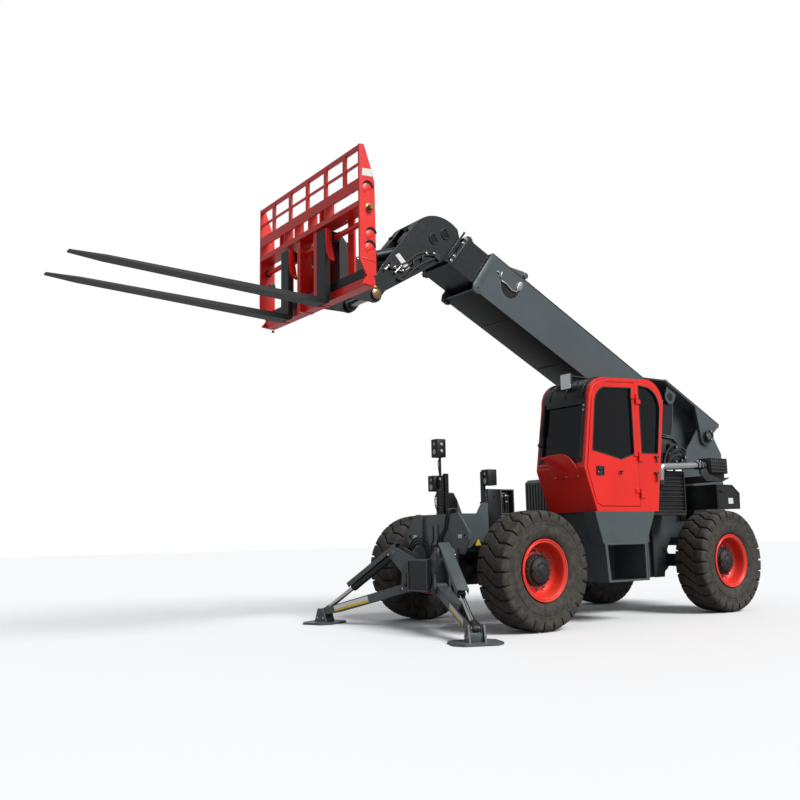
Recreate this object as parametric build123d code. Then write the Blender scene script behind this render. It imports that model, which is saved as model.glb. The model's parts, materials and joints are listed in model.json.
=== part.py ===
from build123d import *
import os
from math import cos, hypot, radians, sin, sqrt

# A telehandler: four steered wheels under a welded chassis, a cab on the left, an engine pod on
# the right, a three-stage boom hinged high at the tail, a pallet-fork carriage on the boom head
# and two front outriggers.
# Axes: +X forward, +Y left, +Z up. Millimetres and degrees. The machine is laid out from a point
# on the ground midway between the axles and moved once, at the end, to the middle of its
# bounding box on the ground.

# ---------------------------------------------------------------- driving sizes
wheelbase = 3450
track = 2145                    # between wheel centre planes
tyre_diameter = 1348
tyre_width = 445
rim_diameter = 700              # over the flanges
kingpin_inset = 202.5           # kingpin axis inboard of the wheel centre plane
steer_limit = 30

frame_half = 450                # outer faces of the front side plates
frame_plate = 30
frame_top = 1330
frame_bottom = 460
front_overhang = 515            # front axle to the front face of the frame
tower_plate = 25
lift_space = 195                # from the boom's side to the tower plates, for a lift cylinder

pivot_behind_axle = 655         # boom pivot behind the rear axle
pivot_z = 2456
pivot_pin_radius = 55

boom_angle = 26.06              # boom above horizontal as it stands
boom_half_width = 300
boom_above = 278                # top face above the pivot, square to the boom
boom_below = 337
boom_wall = 12
boom_length = 4437              # pivot to the front of the first stage
boom_ear_plate = 30             # tail ears, outside the tower plates
stage_stroke = 2900             # travel of each sliding stage

mid_half_width = 262
mid_above = 245
mid_below = 245
mid_wall = 10
inner_half_width = 225
inner_above = 166
inner_below = 215
inner_wall = 10
mid_projects = 420              # mid stage beyond the first stage, retracted

head_reach = 5680               # boom pivot to head pin, level, as it stands
head_rise = 1394
head_pin_radius = 45

carriage_half = 1152
carriage_front = 760            # head pin to the front face of the carriage
carriage_top = 1316
fork_width = 180
fork_spacing = 840              # between fork centre lines
fork_thickness = 60
fork_length = 2670              # shank face to tip

cab_gap = 22                    # from the boom's side to the cab's inner wall
cab_outer_y = 1140
cab_floor_z = 1333
cab_wall = 50

leg_splay = 23                  # outrigger legs turned forward of square, in plan
leg_hinge = (725, 300, 480)     # left leg hinge; X is ahead of the front axle
leg_run = 1290                  # hinge to foot pin, in plan
foot_pin_z = 150
outrigger_width = 130
pad_size = (430, 520, 25)
pad_cut = 90

hose_radius = 11

gap = 0.3                       # between touching pieces of different bodies
clear = 10                      # free space between pieces that pass each other
fit = 0.05                      # radial play of a pin in its bore

# ---------------------------------------------------------------- worked-out places
axle_x = {"front": wheelbase / 2, "rear": -wheelbase / 2}
axle_z = tyre_diameter / 2
wheel_y = track / 2
kingpin_half = wheel_y - kingpin_inset
tyre_inner_y = wheel_y - tyre_width / 2
tower_half = boom_half_width + lift_space + tower_plate      # outer faces of the tail tower plates
boom_flare_half = tower_half + clear + boom_ear_plate        # half width over the tail ears
cab_inner_y = boom_half_width + cab_gap
front_x = axle_x["front"] + front_overhang
pivot_x = axle_x["rear"] - pivot_behind_axle
head_x = pivot_x + head_reach
head_z = pivot_z + head_rise
mid_front = boom_length + mid_projects
fork_y = fork_spacing / 2
leg_x = axle_x["front"] + leg_hinge[0]
SIDES = {"left": 1, "right": -1}


# ---------------------------------------------------------------- drawing helpers
def box(x0, x1, y0, y1, z0, z1):
    """A block from its lowest to its highest corner."""
    return Pos((x0 + x1) / 2, (y0 + y1) / 2, (z0 + z1) / 2) * Box(x1 - x0, y1 - y0, z1 - z0)


def wires(points, place):
    """Edges through the points; a 3-item entry ("arc", via, end) is an arc to its end point."""
    edges = []
    first = here = points[0]
    for item in list(points[1:]) + [first]:
        if item[0] == "arc":
            edges.append(ThreePointArc(place(*here), place(*item[1]), place(*item[2])))
            here = item[2]
        elif hypot(item[0] - here[0], item[1] - here[1]) > 1e-6:
            edges.append(Line(place(*here), place(*item)))
            here = item
    return edges


def side_plate(points, y0, y1):
    """An outline of (x, z) points, thick from y0 to y1."""
    face = make_face(wires(points, lambda x, z: (x, y0, z)))
    return extrude(face, amount=y1 - y0, dir=(0, 1, 0))


def cross_plate(points, x0, x1):
    """An outline of (y, z) points, thick from x0 to x1."""
    face = make_face(wires(points, lambda y, z: (x0, y, z)))
    return extrude(face, amount=x1 - x0, dir=(1, 0, 0))


def flat_plate(points, z0, z1):
    """An outline of (x, y) points, thick from z0 to z1."""
    face = make_face(wires(points, lambda x, y: (x, y, z0)))
    return extrude(face, amount=z1 - z0, dir=(0, 0, 1))


def bar(start, end, radius):
    """A round bar between two points."""
    start, end = Vector(*start), Vector(*end)
    place = Plane(origin=start, z_dir=end - start)
    return place * Cylinder(radius, (end - start).length, align=(Align.CENTER, Align.CENTER, Align.MIN))


def pin_y(x, z, radius, y0, y1):
    """A round bar along Y."""
    return bar((x, y0, z), (x, y1, z), radius)


def strip(start, end, thickness, y0, y1):
    """A plate seen edge-on: its outer face runs from start to end, its body lies to the right."""
    run = hypot(end[0] - start[0], end[1] - start[1])
    nx, nz = (end[1] - start[1]) / run, -(end[0] - start[0]) / run
    shift = (nx * thickness, nz * thickness)
    corners = [start, end, (end[0] + shift[0], end[1] + shift[1]), (start[0] + shift[0], start[1] + shift[1])]
    return side_plate(corners, y0, y1)


def mirrored(shape):
    return mirror(shape, about=Plane.XZ)


def both(shape):
    """A shape on the left and its mirror image on the right."""
    return shape + mirrored(shape)


def join(shapes):
    """One shape from many, added one after the other."""
    total = shapes[0]
    for shape in shapes[1:]:
        total = total + shape
    return total


def on_boom(shape):
    """From boom axes (x along the boom, z square to it, origin at the pivot) to the machine."""
    return Pos(pivot_x, 0, pivot_z) * Rot(0, -boom_angle, 0) * shape


def boom_point(along, up):
    a = radians(boom_angle)
    return (pivot_x + along * cos(a) - up * sin(a), pivot_z + along * sin(a) + up * cos(a))


nodes = {}

# ---------------------------------------------------------------- chassis
fx, rx = axle_x["front"], axle_x["rear"]
arch_rise = 320                 # arch over an axle, above its centre
arch_half = 330
tail_x = rx - 1030
tower_foot_x = rx + 650
pin_end = boom_flare_half + 45

rail = [
    (tower_foot_x - 80, frame_bottom), (fx - arch_half - 170, frame_bottom), (fx - arch_half - 60, axle_z + 120),
    (fx - arch_half + 60, axle_z + arch_rise), (fx + arch_half - 20, axle_z + arch_rise), (fx + 400, 930),
    (front_x, 930), (front_x, frame_top), (tower_foot_x - 80, frame_top),
]
tower = [
    (pivot_x + 150, pivot_z + 104), (rx - 210, 2215), (rx - 95, 1930), (rx + 125, 1580),
    (tower_foot_x, frame_top), (tower_foot_x, frame_bottom), (rx + arch_half + 120, frame_bottom),
    (rx + arch_half + 60, axle_z + 120), (rx + arch_half - 60, axle_z + arch_rise),
    (rx - arch_half + 60, axle_z + arch_rise), (rx - arch_half - 120, axle_z + 250), (tail_x + 130, 1010),
    (tail_x, 1180), (tail_x, 2205), (pivot_x - 185, pivot_z + 30),
    ("arc", (pivot_x - 30, pivot_z + 190), (pivot_x + 150, pivot_z + 104)),
]
rail_plates = both(side_plate(rail, frame_half - frame_plate, frame_half))
tower_plates = both(side_plate(tower, tower_half - tower_plate, tower_half))
rail_inner = frame_half - frame_plate
tower_inner = tower_half - tower_plate
front_box = [
    box(front_x - 25, front_x, -frame_half, frame_half, 930, frame_top),
    box(fx + 65, front_x, -frame_half, frame_half, frame_top - 25, frame_top),
    box(fx + 65, fx + 90, -frame_half, frame_half, axle_z + arch_rise, frame_top),
    box(fx + 65, fx + 165, -150, 150, axle_z + arch_rise - 40, frame_top),
]
ear = [
    (290, frame_top), (372, frame_top + 8), (430, frame_top), (598, 1120), (598, 1030), (505, 860), (290, 860),
]
ears = both(cross_plate(ear, front_x, front_x + 28) - bar((front_x - 50, 541, 1070), (front_x + 90, 541, 1070), 24))
cradle_top = 1620
right_cradle = [(fx - 215, frame_top - 120), (fx - 215, frame_top), (fx - 130, 1530), (fx - 70, cradle_top),
                (fx + 80, cradle_top), (fx + 120, frame_top), (fx + 120, frame_top - 120)]
left_gusset = [(fx + 100, frame_top - 60), (fx + 265, frame_top - 60), (fx + 265, frame_top + 5), (fx + 187, 1455),
               (fx + 100, 1455)]
box_inner = boom_half_width + 30
cradle_hole = pin_y(fx + 5, 1530, 22, -frame_half - 60, frame_half + 60)
cradles = join([
    side_plate(right_cradle, -frame_half, -frame_half + 30),
    box(fx - 95, fx + 105, frame_half - 30, frame_half, frame_top - 120, cradle_top),
    side_plate(left_gusset, frame_half - 30, frame_half),
    box(fx - 315, fx - 95, box_inner, frame_half, frame_top - 15, cradle_top)
    - box(fx - 303, fx - 100, box_inner + 12, frame_half + 10, frame_top, cradle_top - 12)]) - cradle_hole
cross_plates = [
    box(tower_foot_x - 80, fx - arch_half - 170, -frame_half, frame_half, frame_bottom, frame_bottom + 15),
    box(tower_foot_x - 80, tower_foot_x - 55, -tower_half, tower_half, frame_bottom, frame_top),
    box(tower_foot_x - 5, tower_foot_x + 20, -frame_half, frame_half, frame_bottom, frame_top - 250),
    box(fx - arch_half - 195, fx - arch_half - 170, -frame_half, frame_half, frame_bottom, frame_top - 150),
    box(tail_x, tail_x + 25, -tower_half, tower_half, 1180, 2000),
    box(rx - arch_half - 120, rx - arch_half - 95, -tower_half, tower_half, axle_z + 260, 1500),
    box(rx - 75, rx + 75, -tower_half, tower_half, axle_z + arch_rise, axle_z + arch_rise + 90),
    box(tail_x, rx - arch_half - 95, -tower_half, tower_half, 1180, 1200),
]
pivot_pin = pin_y(pivot_x, pivot_z, pivot_pin_radius, -pin_end, pin_end)
tower_bosses = both(pin_y(pivot_x, pivot_z, 120, tower_inner - 45, tower_half))

# lift cylinder lower pin, between the tower plates and an inner web
lift_pin = (rx + 425, 850)
lift_y = boom_half_width + 97
lift_radius = 80
lift_pin_stub = both(pin_y(*lift_pin, 40, tower_inner - 25, tower_half + 20))
lift_web = both(box(tower_foot_x - 80, tower_foot_x + 20, 285, 300, frame_bottom, frame_top - 60))

# axle hangers under the arches
hanger_rise = 205               # axle centre to the underside of its hanger
hangers = [
    box(fx - 75, fx + 75, -frame_half, frame_half, axle_z + hanger_rise, axle_z + arch_rise + 10),
    box(rx - 75, rx + 75, -tower_half, tower_half, axle_z + hanger_rise, axle_z + arch_rise + 10),
]
# brackets that carry the engine pod on the right and the cab base on the left: (middle, half width) along X
pod_rear = rx + tyre_diameter / 2 + 91
pod_front = fx - tyre_diameter / 2 - 171
pod_brackets = ((pod_rear + 90, 30), (pod_front - 230, 30))
cab_brackets = ((-270, 30), (580, 20))
bracket_reach = 1080
shelves = (
    [box(x - w, x + w, -bracket_reach, -frame_half + 5, 900, 990) for x, w in pod_brackets]
    + [box(x - w, x + w, frame_half - 5, bracket_reach, 950, 1030) for x, w in cab_brackets]
)
nodes["chassis_frame"] = join(
    [rail_plates, tower_plates, ears, cradles, pivot_pin, tower_bosses, lift_pin_stub, lift_web]
    + front_box + cross_plates + hangers + shelves
)

# ---------------------------------------------------------------- axles, knuckles, wheels
yoke_radius = 70
yoke_height = 150
kingpin_radius = 22
disc_offset = 25                # rim disc outboard of the wheel centre plane
disc_inner_y = wheel_y + disc_offset - 30


def axle(x):
    beam = box(x - 75, x + 75, -kingpin_half + 150, kingpin_half - 150, axle_z - 85, axle_z + 85)
    bowl = Pos(x, 0, axle_z) * Cylinder(195, 190, rotation=(0, 90, 0))
    nose = Pos(x, 0, axle_z) * Cylinder(130, 380, rotation=(0, 90, 0))
    seat = box(x - 70, x + 70, -180, 180, axle_z, axle_z + hanger_rise - gap)
    yokes = []
    for side in (1, -1):
        y = side * kingpin_half
        back = box(x - 60, x + 60, min(y, y - side * 170), max(y, y - side * 170), axle_z - yoke_height,
                   axle_z + yoke_height)
        hollow = box(x - 90, x + 90, min(y - side * 115, y + side * 90), max(y - side * 115, y + side * 90),
                     axle_z - yoke_height + 40, axle_z + yoke_height - 40)
        ends = Pos(x, y, axle_z) * Cylinder(66, 2 * yoke_height)
        kingpin_bore = Pos(x, y, axle_z) * Cylinder(kingpin_radius + fit, 3 * yoke_height)
        yokes.append(back + ends - hollow - kingpin_bore)
    return join([beam, seat, bowl, nose] + yokes)


def knuckle(x, side):
    """Swivel housing between the yoke arms, with the wheel spindle and hub flange outside it."""
    reach = yoke_height - 40 - clear / 2
    body = Pos(x, side * kingpin_half, axle_z) * Cylinder(85, 2 * reach)
    pins = Pos(x, side * kingpin_half, axle_z) * Cylinder(kingpin_radius, 2 * yoke_height + 16)
    y0 = side * (kingpin_half + 40)
    y1 = side * (disc_inner_y - gap)
    spindle = pin_y(x, axle_z, 95, min(y0, y1), max(y0, y1))
    return body + spindle + pins


def tyre(x, side):
    half, outer, bead = tyre_width / 2, tyre_diameter / 2, rim_diameter / 2 - 22
    crown, shoulder = 8, 55
    profile = [
        (-half + 45, bead), (half - 45, bead), (half - 45, bead + 30), (half - 8, bead + 60),
        (half, bead + 110), (half, outer - shoulder - 60),
        (half - 18, outer - shoulder), (half - shoulder - 10, outer - crown),
        ("arc", (0, outer), (-half + shoulder + 10, outer - crown)),
        (-half + 18, outer - shoulder), (-half, outer - shoulder - 60), (-half, bead + 110),
        (-half + 8, bead + 60), (-half + 45, bead + 30),
    ]
    face = make_face(wires(profile, lambda y, r: (0, y, r)))
    ring = revolve(face, axis=Axis.Y, revolution_arc=360)
    return Pos(x, side * wheel_y, axle_z) * ring


def rim(x, side):
    """Rim barrel with flanges, a dished disc and the planetary hub cover."""
    half, bead, flange = tyre_width / 2, rim_diameter / 2 - 22, rim_diameter / 2
    inner = bead - 18
    disc = disc_offset
    profile = [(-half + 22, inner - 14), (disc - 30, inner - 14), (disc - 30, 0), (half - 60, 0),
               (half - 60, 110), (half - 75, 150), (disc + 62, 165), (disc + 62, 205), (disc + 20, 215),
               (disc - 8, 255), (disc + 20, inner - 14), (half - 22, inner - 14), (half - 22, flange),
               (half - 45 + gap, flange), (half - 45 + gap, bead - gap), (-half + 45 - gap, bead - gap),
               (-half + 45 - gap, flange), (-half + 22, flange)]
    face = make_face(wires(profile, lambda y, r: (0, y, r)))
    wheel = revolve(face, axis=Axis.Y, revolution_arc=360)
    if side < 0:
        wheel = mirrored(wheel)
    return Pos(x, side * wheel_y, axle_z) * wheel


for end, x in axle_x.items():
    nodes[f"{end}_axle"] = axle(x)
    for name, side in SIDES.items():
        nodes[f"{end}_{name}_knuckle"] = knuckle(x, side)
        nodes[f"{end}_{name}_tyre"] = tyre(x, side)
        nodes[f"{end}_{name}_rim"] = rim(x, side)

# ---------------------------------------------------------------- boom
ear_radius = 142
flare_length = 1123
plate = 25

shell = [
    (-60, -boom_below), (boom_length + 60, -boom_below), (boom_length + 107, -boom_below + 45),
    (boom_length, boom_above), (-60, boom_above),
]
bore = box(-200, boom_length + 300, -boom_half_width + boom_wall, boom_half_width - boom_wall,
           -boom_below + boom_wall, boom_above - boom_wall)
tube = side_plate(shell, -boom_half_width, boom_half_width) - bore
pad_out = box(boom_length - 160, boom_length - 30, -boom_half_width + 1, boom_half_width - 1,
              -boom_below + 1, boom_above - 1)
pad_in = box(boom_length - 200, boom_length + 10, -mid_half_width - gap, mid_half_width + gap,
             -mid_below - gap, mid_above + gap)
top_flange = flat_plate(
    [(-208, -boom_flare_half), (flare_length, -boom_flare_half), (flare_length + 150, -boom_half_width),
     (flare_length + 150, boom_half_width), (flare_length, boom_flare_half), (-208, boom_flare_half)],
    boom_above, boom_above + plate)
ear_plate = side_plate(
    [(-208, boom_above), (-100, 60), ("arc", (-30, -ear_radius + 3), (ear_radius * 0.94, -ear_radius * 0.34)),
     (395, boom_above)],
    tower_half + clear, boom_flare_half)
ear_plates = both(ear_plate)
rear_plate = box(-208, -183, -boom_flare_half, boom_flare_half, boom_above - 30, boom_above)
eye_s, eye_t = 909, 150
bosses = both(pin_y(0, 0, 95, boom_half_width - boom_wall, tower_inner - 45 - clear))
ear_bosses = both(pin_y(0, 0, 100, tower_half + clear, boom_flare_half + 20))
lift_ears = both(
    side_plate([(eye_s - 110, boom_above), (eye_s - 100, 120), ("arc", (eye_s, 45), (eye_s + 100, 120)),
                (eye_s + 110, boom_above)], boom_flare_half - 55, boom_flare_half - 35)
    + pin_y(eye_s, eye_t, 38, boom_half_width - 4, boom_flare_half - 35))
pin_bore = pin_y(0, 0, pivot_pin_radius + fit, -700, 700)
nodes["boom_outer"] = on_boom(
    (tube + (pad_out - pad_in) + top_flange + ear_plates + rear_plate + bosses + ear_bosses + lift_ears)
    - pin_bore)

mid_rear = 330
mid_shell = side_plate([(mid_rear, -mid_below), (mid_front + 70, -mid_below), (mid_front, mid_above),
                        (mid_rear, mid_above)], -mid_half_width, mid_half_width)
mid_bore = box(mid_rear - 100, mid_front + 300, -mid_half_width + mid_wall, mid_half_width - mid_wall,
               -mid_below + mid_wall, mid_above - mid_wall)
collar = side_plate([(mid_front - 90, mid_above + 14), (mid_front, mid_above + 14), (mid_front + 112, -mid_below - 14),
                     (mid_front + 22, -mid_below - 14)], -mid_half_width - 20, mid_half_width + 20)
mid_pads_out = box(mid_rear, mid_rear + 180, -boom_half_width + boom_wall + gap, boom_half_width - boom_wall - gap,
                   -boom_below + boom_wall + gap, boom_above - boom_wall - gap)
mid_pads_in = box(mid_front - 150, mid_front - 20, -mid_half_width + 1, mid_half_width - 1, -mid_below + 1,
                  mid_above - 1)
inner_clear = box(0, mid_front + 300, -inner_half_width - gap, inner_half_width + gap, -inner_below - gap,
                  inner_above + gap)
nodes["boom_mid"] = on_boom((mid_shell + collar + mid_pads_out - mid_bore) + (mid_pads_in - inner_clear))

inner_rear = 480
inner_end = mid_front + 190
inner_shell = box(inner_rear, inner_end, -inner_half_width, inner_half_width, -inner_below, inner_above)
inner_bore = box(inner_rear - 10, inner_end + 10, -inner_half_width + inner_wall, inner_half_width - inner_wall,
                 -inner_below + inner_wall, inner_above - inner_wall)
inner_pads = box(inner_rear, inner_rear + 180, -mid_half_width + mid_wall + gap, mid_half_width - mid_wall - gap,
                 -mid_below + mid_wall + gap, mid_above - mid_wall - gap)
inner_tube = on_boom(inner_shell + inner_pads - inner_bore)

# gooseneck head; (x, z) from the head pin
head_half = inner_half_width + 30
head_outline = [
    (-1330, 850), (-1289, 1031), ("arc", (-930, 1145), (-665, 1027)), (-152, 406), (82, 40),
    ("arc", (60, -62), (-48, -72)), (-165, 72), (-1062, 602),
]
at_head = Pos(head_x, 0, head_z)
tilt_base = (-905, 800)
cheek = side_plate(head_outline, inner_half_width, head_half)
cheek_holes = [pin_y(-1085, 905, 45, 0, head_half + 5)]
head_cheeks = both(cheek - cheek_holes)
top_cover = (side_plate([(-1330, 850), (-1289, 1031), ("arc", (-930, 1145), (-665, 1027)),
                         (-678, 1004), ("arc", (-932, 1118), (-1268, 1010)), (-1302, 850)],
                        -inner_half_width, inner_half_width))
belly_cover = strip((-1062, 602), (-165, 72), -22, -inner_half_width, inner_half_width)
tilt_lugs = both(side_plate([(tilt_base[0] - 70, tilt_base[1] + 230), (tilt_base[0] - 65, tilt_base[1] - 20),
                             ("arc", (tilt_base[0], tilt_base[1] - 68), (tilt_base[0] + 65, tilt_base[1] - 20)),
                             (tilt_base[0] + 70, tilt_base[1] + 250)], 80, 100))
tilt_pin = pin_y(*tilt_base, 28, -head_half, head_half)
nose_bore = pin_y(0, 0, head_pin_radius + fit, -400, 400)
head = at_head * (head_cheeks + top_cover + belly_cover + tilt_lugs + tilt_pin - nose_bore)
nodes["boom_inner"] = inner_tube + head

nodes["head_pin"] = at_head * (
    pin_y(0, 0, head_pin_radius, -head_half - 60, head_half + 60)
    + both(pin_y(0, 0, 62, head_half + 52, head_half + 66)))

# ---------------------------------------------------------------- lift cylinders (barrel above, rod below)
lift_eye = boom_point(eye_s, eye_t)
lift_run = (lift_pin[0] - lift_eye[0], lift_pin[1] - lift_eye[1])
lift_length = hypot(*lift_run)
lift_dir = (lift_run[0] / lift_length, lift_run[1] / lift_length)


def along_lift(distance, y=lift_y):
    return (lift_eye[0] + lift_dir[0] * distance, y, lift_eye[1] + lift_dir[1] * distance)


lift_barrel_end = 1360
lift_barrel = (bar(along_lift(60), along_lift(lift_barrel_end), lift_radius)
               + pin_y(*lift_eye, 78, lift_y - 55, lift_y + 55)
               - pin_y(*lift_eye, 38 + fit, lift_y - 200, lift_y + 200)
               - bar(along_lift(200), along_lift(lift_barrel_end + 10), 50 + fit))
nodes["lift_barrels"] = both(lift_barrel)
lift_rod = (bar(along_lift(760), along_lift(lift_length - 40), 50)
            + pin_y(*lift_pin, 62, lift_y - 50, lift_y + 50))
nodes["lift_rods"] = both(lift_rod)

# ---------------------------------------------------------------- tilt cylinder
tilt_eye = (300, 400)
tilt_run = hypot(tilt_eye[0] - tilt_base[0], tilt_eye[1] - tilt_base[1])
tilt_dir = ((tilt_eye[0] - tilt_base[0]) / tilt_run, (tilt_eye[1] - tilt_base[1]) / tilt_run)


def along_tilt(distance):
    return (tilt_base[0] + tilt_dir[0] * distance, 0, tilt_base[1] + tilt_dir[1] * distance)


tilt_barrel_end = 760
nodes["tilt_barrel"] = at_head * (
    bar(along_tilt(50), along_tilt(tilt_barrel_end), 68) + pin_y(*tilt_base, 58, -75, 75)
    - pin_y(*tilt_base, 28 + fit, -90, 90)
    - bar(along_tilt(110), along_tilt(tilt_barrel_end + 10), 38 + fit))
nodes["tilt_rod"] = at_head * (
    bar(along_tilt(400), along_tilt(tilt_run - 30), 38) + pin_y(*tilt_eye, 50, -45, 45))

# ---------------------------------------------------------------- coupler and fork carriage
back_x = carriage_front - 200
coupler_cheek = side_plate(
    [(-82, -30), ("arc", (-66, 60), (0, 100)), (back_x - 120, 610), (back_x, 610), (back_x, -95), (60, -95),
     ("arc", (-40, -82), (-82, -30))],
    head_half + clear, head_half + clear + 28) - pin_y(0, 0, head_pin_radius + fit, 0, 500)
coupler_back = box(back_x - 30, back_x, -420, 420, -95, 610)
coupler_window = box(back_x - 40, back_x + 10, -110, 110, 120, 500)
tilt_ears = both(side_plate([(tilt_eye[0] - 60, tilt_eye[1] + 25), (tilt_eye[0] - 20, tilt_eye[1] + 70),
                             (back_x - 30, 590), (back_x - 30, 150), (tilt_eye[0] - 20, tilt_eye[1] - 60)],
                            150, 175))
nodes["coupler"] = at_head * (both(coupler_cheek) + (coupler_back - coupler_window) + tilt_ears)

rail_in = carriage_half - 25
front = carriage_front
side_outline = [
    (front, carriage_top), (front - 60, carriage_top + 9), (front - 151, 1067), (front - 190, 930),
    (back_x, -84), (front - 83, -102), (front + 3, 55),
]
side = side_plate(side_outline, rail_in, carriage_half)
tab = side_plate([(front - 170, -84), (front - 90, -100), (front - 22, -190), (front - 160, -205)], rail_in,
                 carriage_half)
frame_bars = [
    box(front - 40, front, -rail_in, rail_in, carriage_top - 46, carriage_top - 6),
    box(front - 25, front, -rail_in, rail_in, 1090, 1112),
    box(front - 22, front, -rail_in, rail_in, 823, 943),
    box(front - 120, front - 20, -rail_in, rail_in, 925, 943),
    box(back_x + 10, front, -rail_in, rail_in, 640, 658),
    box(front - 22, front, -rail_in, rail_in, 640, 700),
    box(back_x + 20, front - 70, -rail_in, rail_in, -115, -20),
    box(back_x, front - 75, -rail_in, rail_in, -205, -115),
]
post_y = (850, 450, 40, -370, -790)
posts = [box(front - 25, front, y - 30, y + 30, 935, carriage_top - 20) for y in post_y]
gusset_y = (-620, -510, -250, 70, 330, 440)
gussets = [box(front - 120, front - 2, y - 10, y + 10, 650, 935) for y in gusset_y]
centre_posts = both(box(back_x, front - 20, 155, 225, -210, 650))
shaft_at = (front - 105, 500)
shaft = pin_y(*shaft_at, 30, -rail_in, rail_in)
back_stays = [box(back_x, back_x + 25, y - 60, y + 60, -115, 650) for y in (-700, 700)]
nodes["carriage_frame"] = at_head * join(
    [both(side), both(tab), shaft, centre_posts] + frame_bars + posts + gussets + back_stays)

shank_back = front - 20
shank_front = shank_back + fork_thickness
heel_z = -275


def fork(y):
    y0, y1 = y - fork_width / 2, y + fork_width / 2
    tip = shank_front + fork_length
    profile = [
        (shank_back, 570), (shank_front, 570), (shank_front, heel_z + fork_thickness + 5),
        (tip, heel_z + 155), (tip, heel_z + 140), (shank_front - 10, heel_z),
        ("arc", (shank_back + 16, heel_z + 18), (shank_back, heel_z + 60)),
    ]
    blade = side_plate(profile, y0, y1)
    nose = flat_plate([(tip - 330, y0 - 60), (tip + 20, y0 - 60), (tip + 20, y0 + 55), (tip - 330, y0)], heel_z,
                      heel_z + 500)
    other = flat_plate([(tip - 330, y1 + 60), (tip + 20, y1 + 60), (tip + 20, y1 - 55), (tip - 330, y1)], heel_z,
                       heel_z + 500)
    lug = side_plate([(shank_back + 5, 560), (shank_back + 5, 430), (shaft_at[0] - 10, 445),
                      ("arc", (shaft_at[0] - 56, 500), (shaft_at[0] - 10, 555))], y0, y1)
    return blade - nose - other + lug - pin_y(*shaft_at, 30 + fit, y0 - 10, y1 + 10)


for name, side_sign in SIDES.items():
    nodes[f"fork_{name}"] = at_head * fork(side_sign * fork_y)

# ---------------------------------------------------------------- outriggers
splay = radians(leg_splay)


def leg_place(side, run, z, across=0):
    """A point in an outrigger's own upright plane: run out from the leg hinge, height z."""
    x = leg_x + run * sin(splay) + across * cos(splay)
    y = leg_hinge[1] + run * cos(splay) - across * sin(splay)
    return (x, side * y, z)


def leg_plate(side, points, a0, a1):
    """An outline of (run, z) points in the outrigger plane, thick from a0 to a1 across it."""
    face = make_face(wires(points, lambda r, z: leg_place(side, r, z, a0)))
    return extrude(face, amount=a1 - a0, dir=(cos(splay), -side * sin(splay), 0))


def leg_pin(side, run, z, radius, a0, a1):
    return bar(leg_place(side, run, z, a0), leg_place(side, run, z, a1), radius)


top_pin = (196, 880)
half = outrigger_width / 2
ear_gap = half + clear
bracket_parts = [
    box(front_x + 28, front_x + 200, -200, 200, 430, 460),
    box(front_x + 28, front_x + 53, -400, 400, 430, 930),
    box(front_x + 28, front_x + 300, -200, -180, 430, 800),
    box(front_x + 28, front_x + 300, 180, 200, 430, 800),
    box(front_x + 28, front_x + 320, -200, 200, 780, 800),
    box(front_x + 300, front_x + 320, -200, 200, 430, 800),
    box(front_x + 28, front_x + 320, -200, 200, 430, 450),
    box(front_x, front_x + 53, -280, 280, 860, 940),
]
for side_sign in (1, -1):
    cheeks = []
    for a0, a1 in ((ear_gap, ear_gap + 25), (-ear_gap - 25, -ear_gap)):
        cheeks.append(leg_plate(side_sign, [(-150, 430), (35, 415), (75, 480), (60, 640), (255, 860), (245, 930),
                                            (150, 945), (-150, 800)], a0, a1))
    pins = (leg_pin(side_sign, 0, leg_hinge[2], 30, -ear_gap - 35, ear_gap + 35)
            + leg_pin(side_sign, *top_pin, 26, -ear_gap - 35, ear_gap + 35))
    web = leg_plate(side_sign, [(-150, 430), (-95, 430), (-95, 800), (-150, 790)], -ear_gap - 20, ear_gap + 20)
    bracket_parts += cheeks + [pins, web]
nodes["outrigger_bracket"] = join(bracket_parts)

cyl_run = hypot(leg_run - top_pin[0], foot_pin_z - top_pin[1])
cyl_dir = ((leg_run - top_pin[0]) / cyl_run, (foot_pin_z - top_pin[1]) / cyl_run)
cyl_up = (-cyl_dir[1], cyl_dir[0])


def cyl_point(distance, up=0):
    return (top_pin[0] + cyl_dir[0] * distance + cyl_up[0] * up, top_pin[1] + cyl_dir[1] * distance + cyl_up[1] * up)


leg_length = hypot(leg_run, foot_pin_z - leg_hinge[2])
leg_dir = (leg_run / leg_length, (foot_pin_z - leg_hinge[2]) / leg_length)


def leg_point(distance, up=0):
    return (leg_dir[0] * distance - leg_dir[1] * up, leg_hinge[2] + leg_dir[1] * distance + leg_dir[0] * up)


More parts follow.
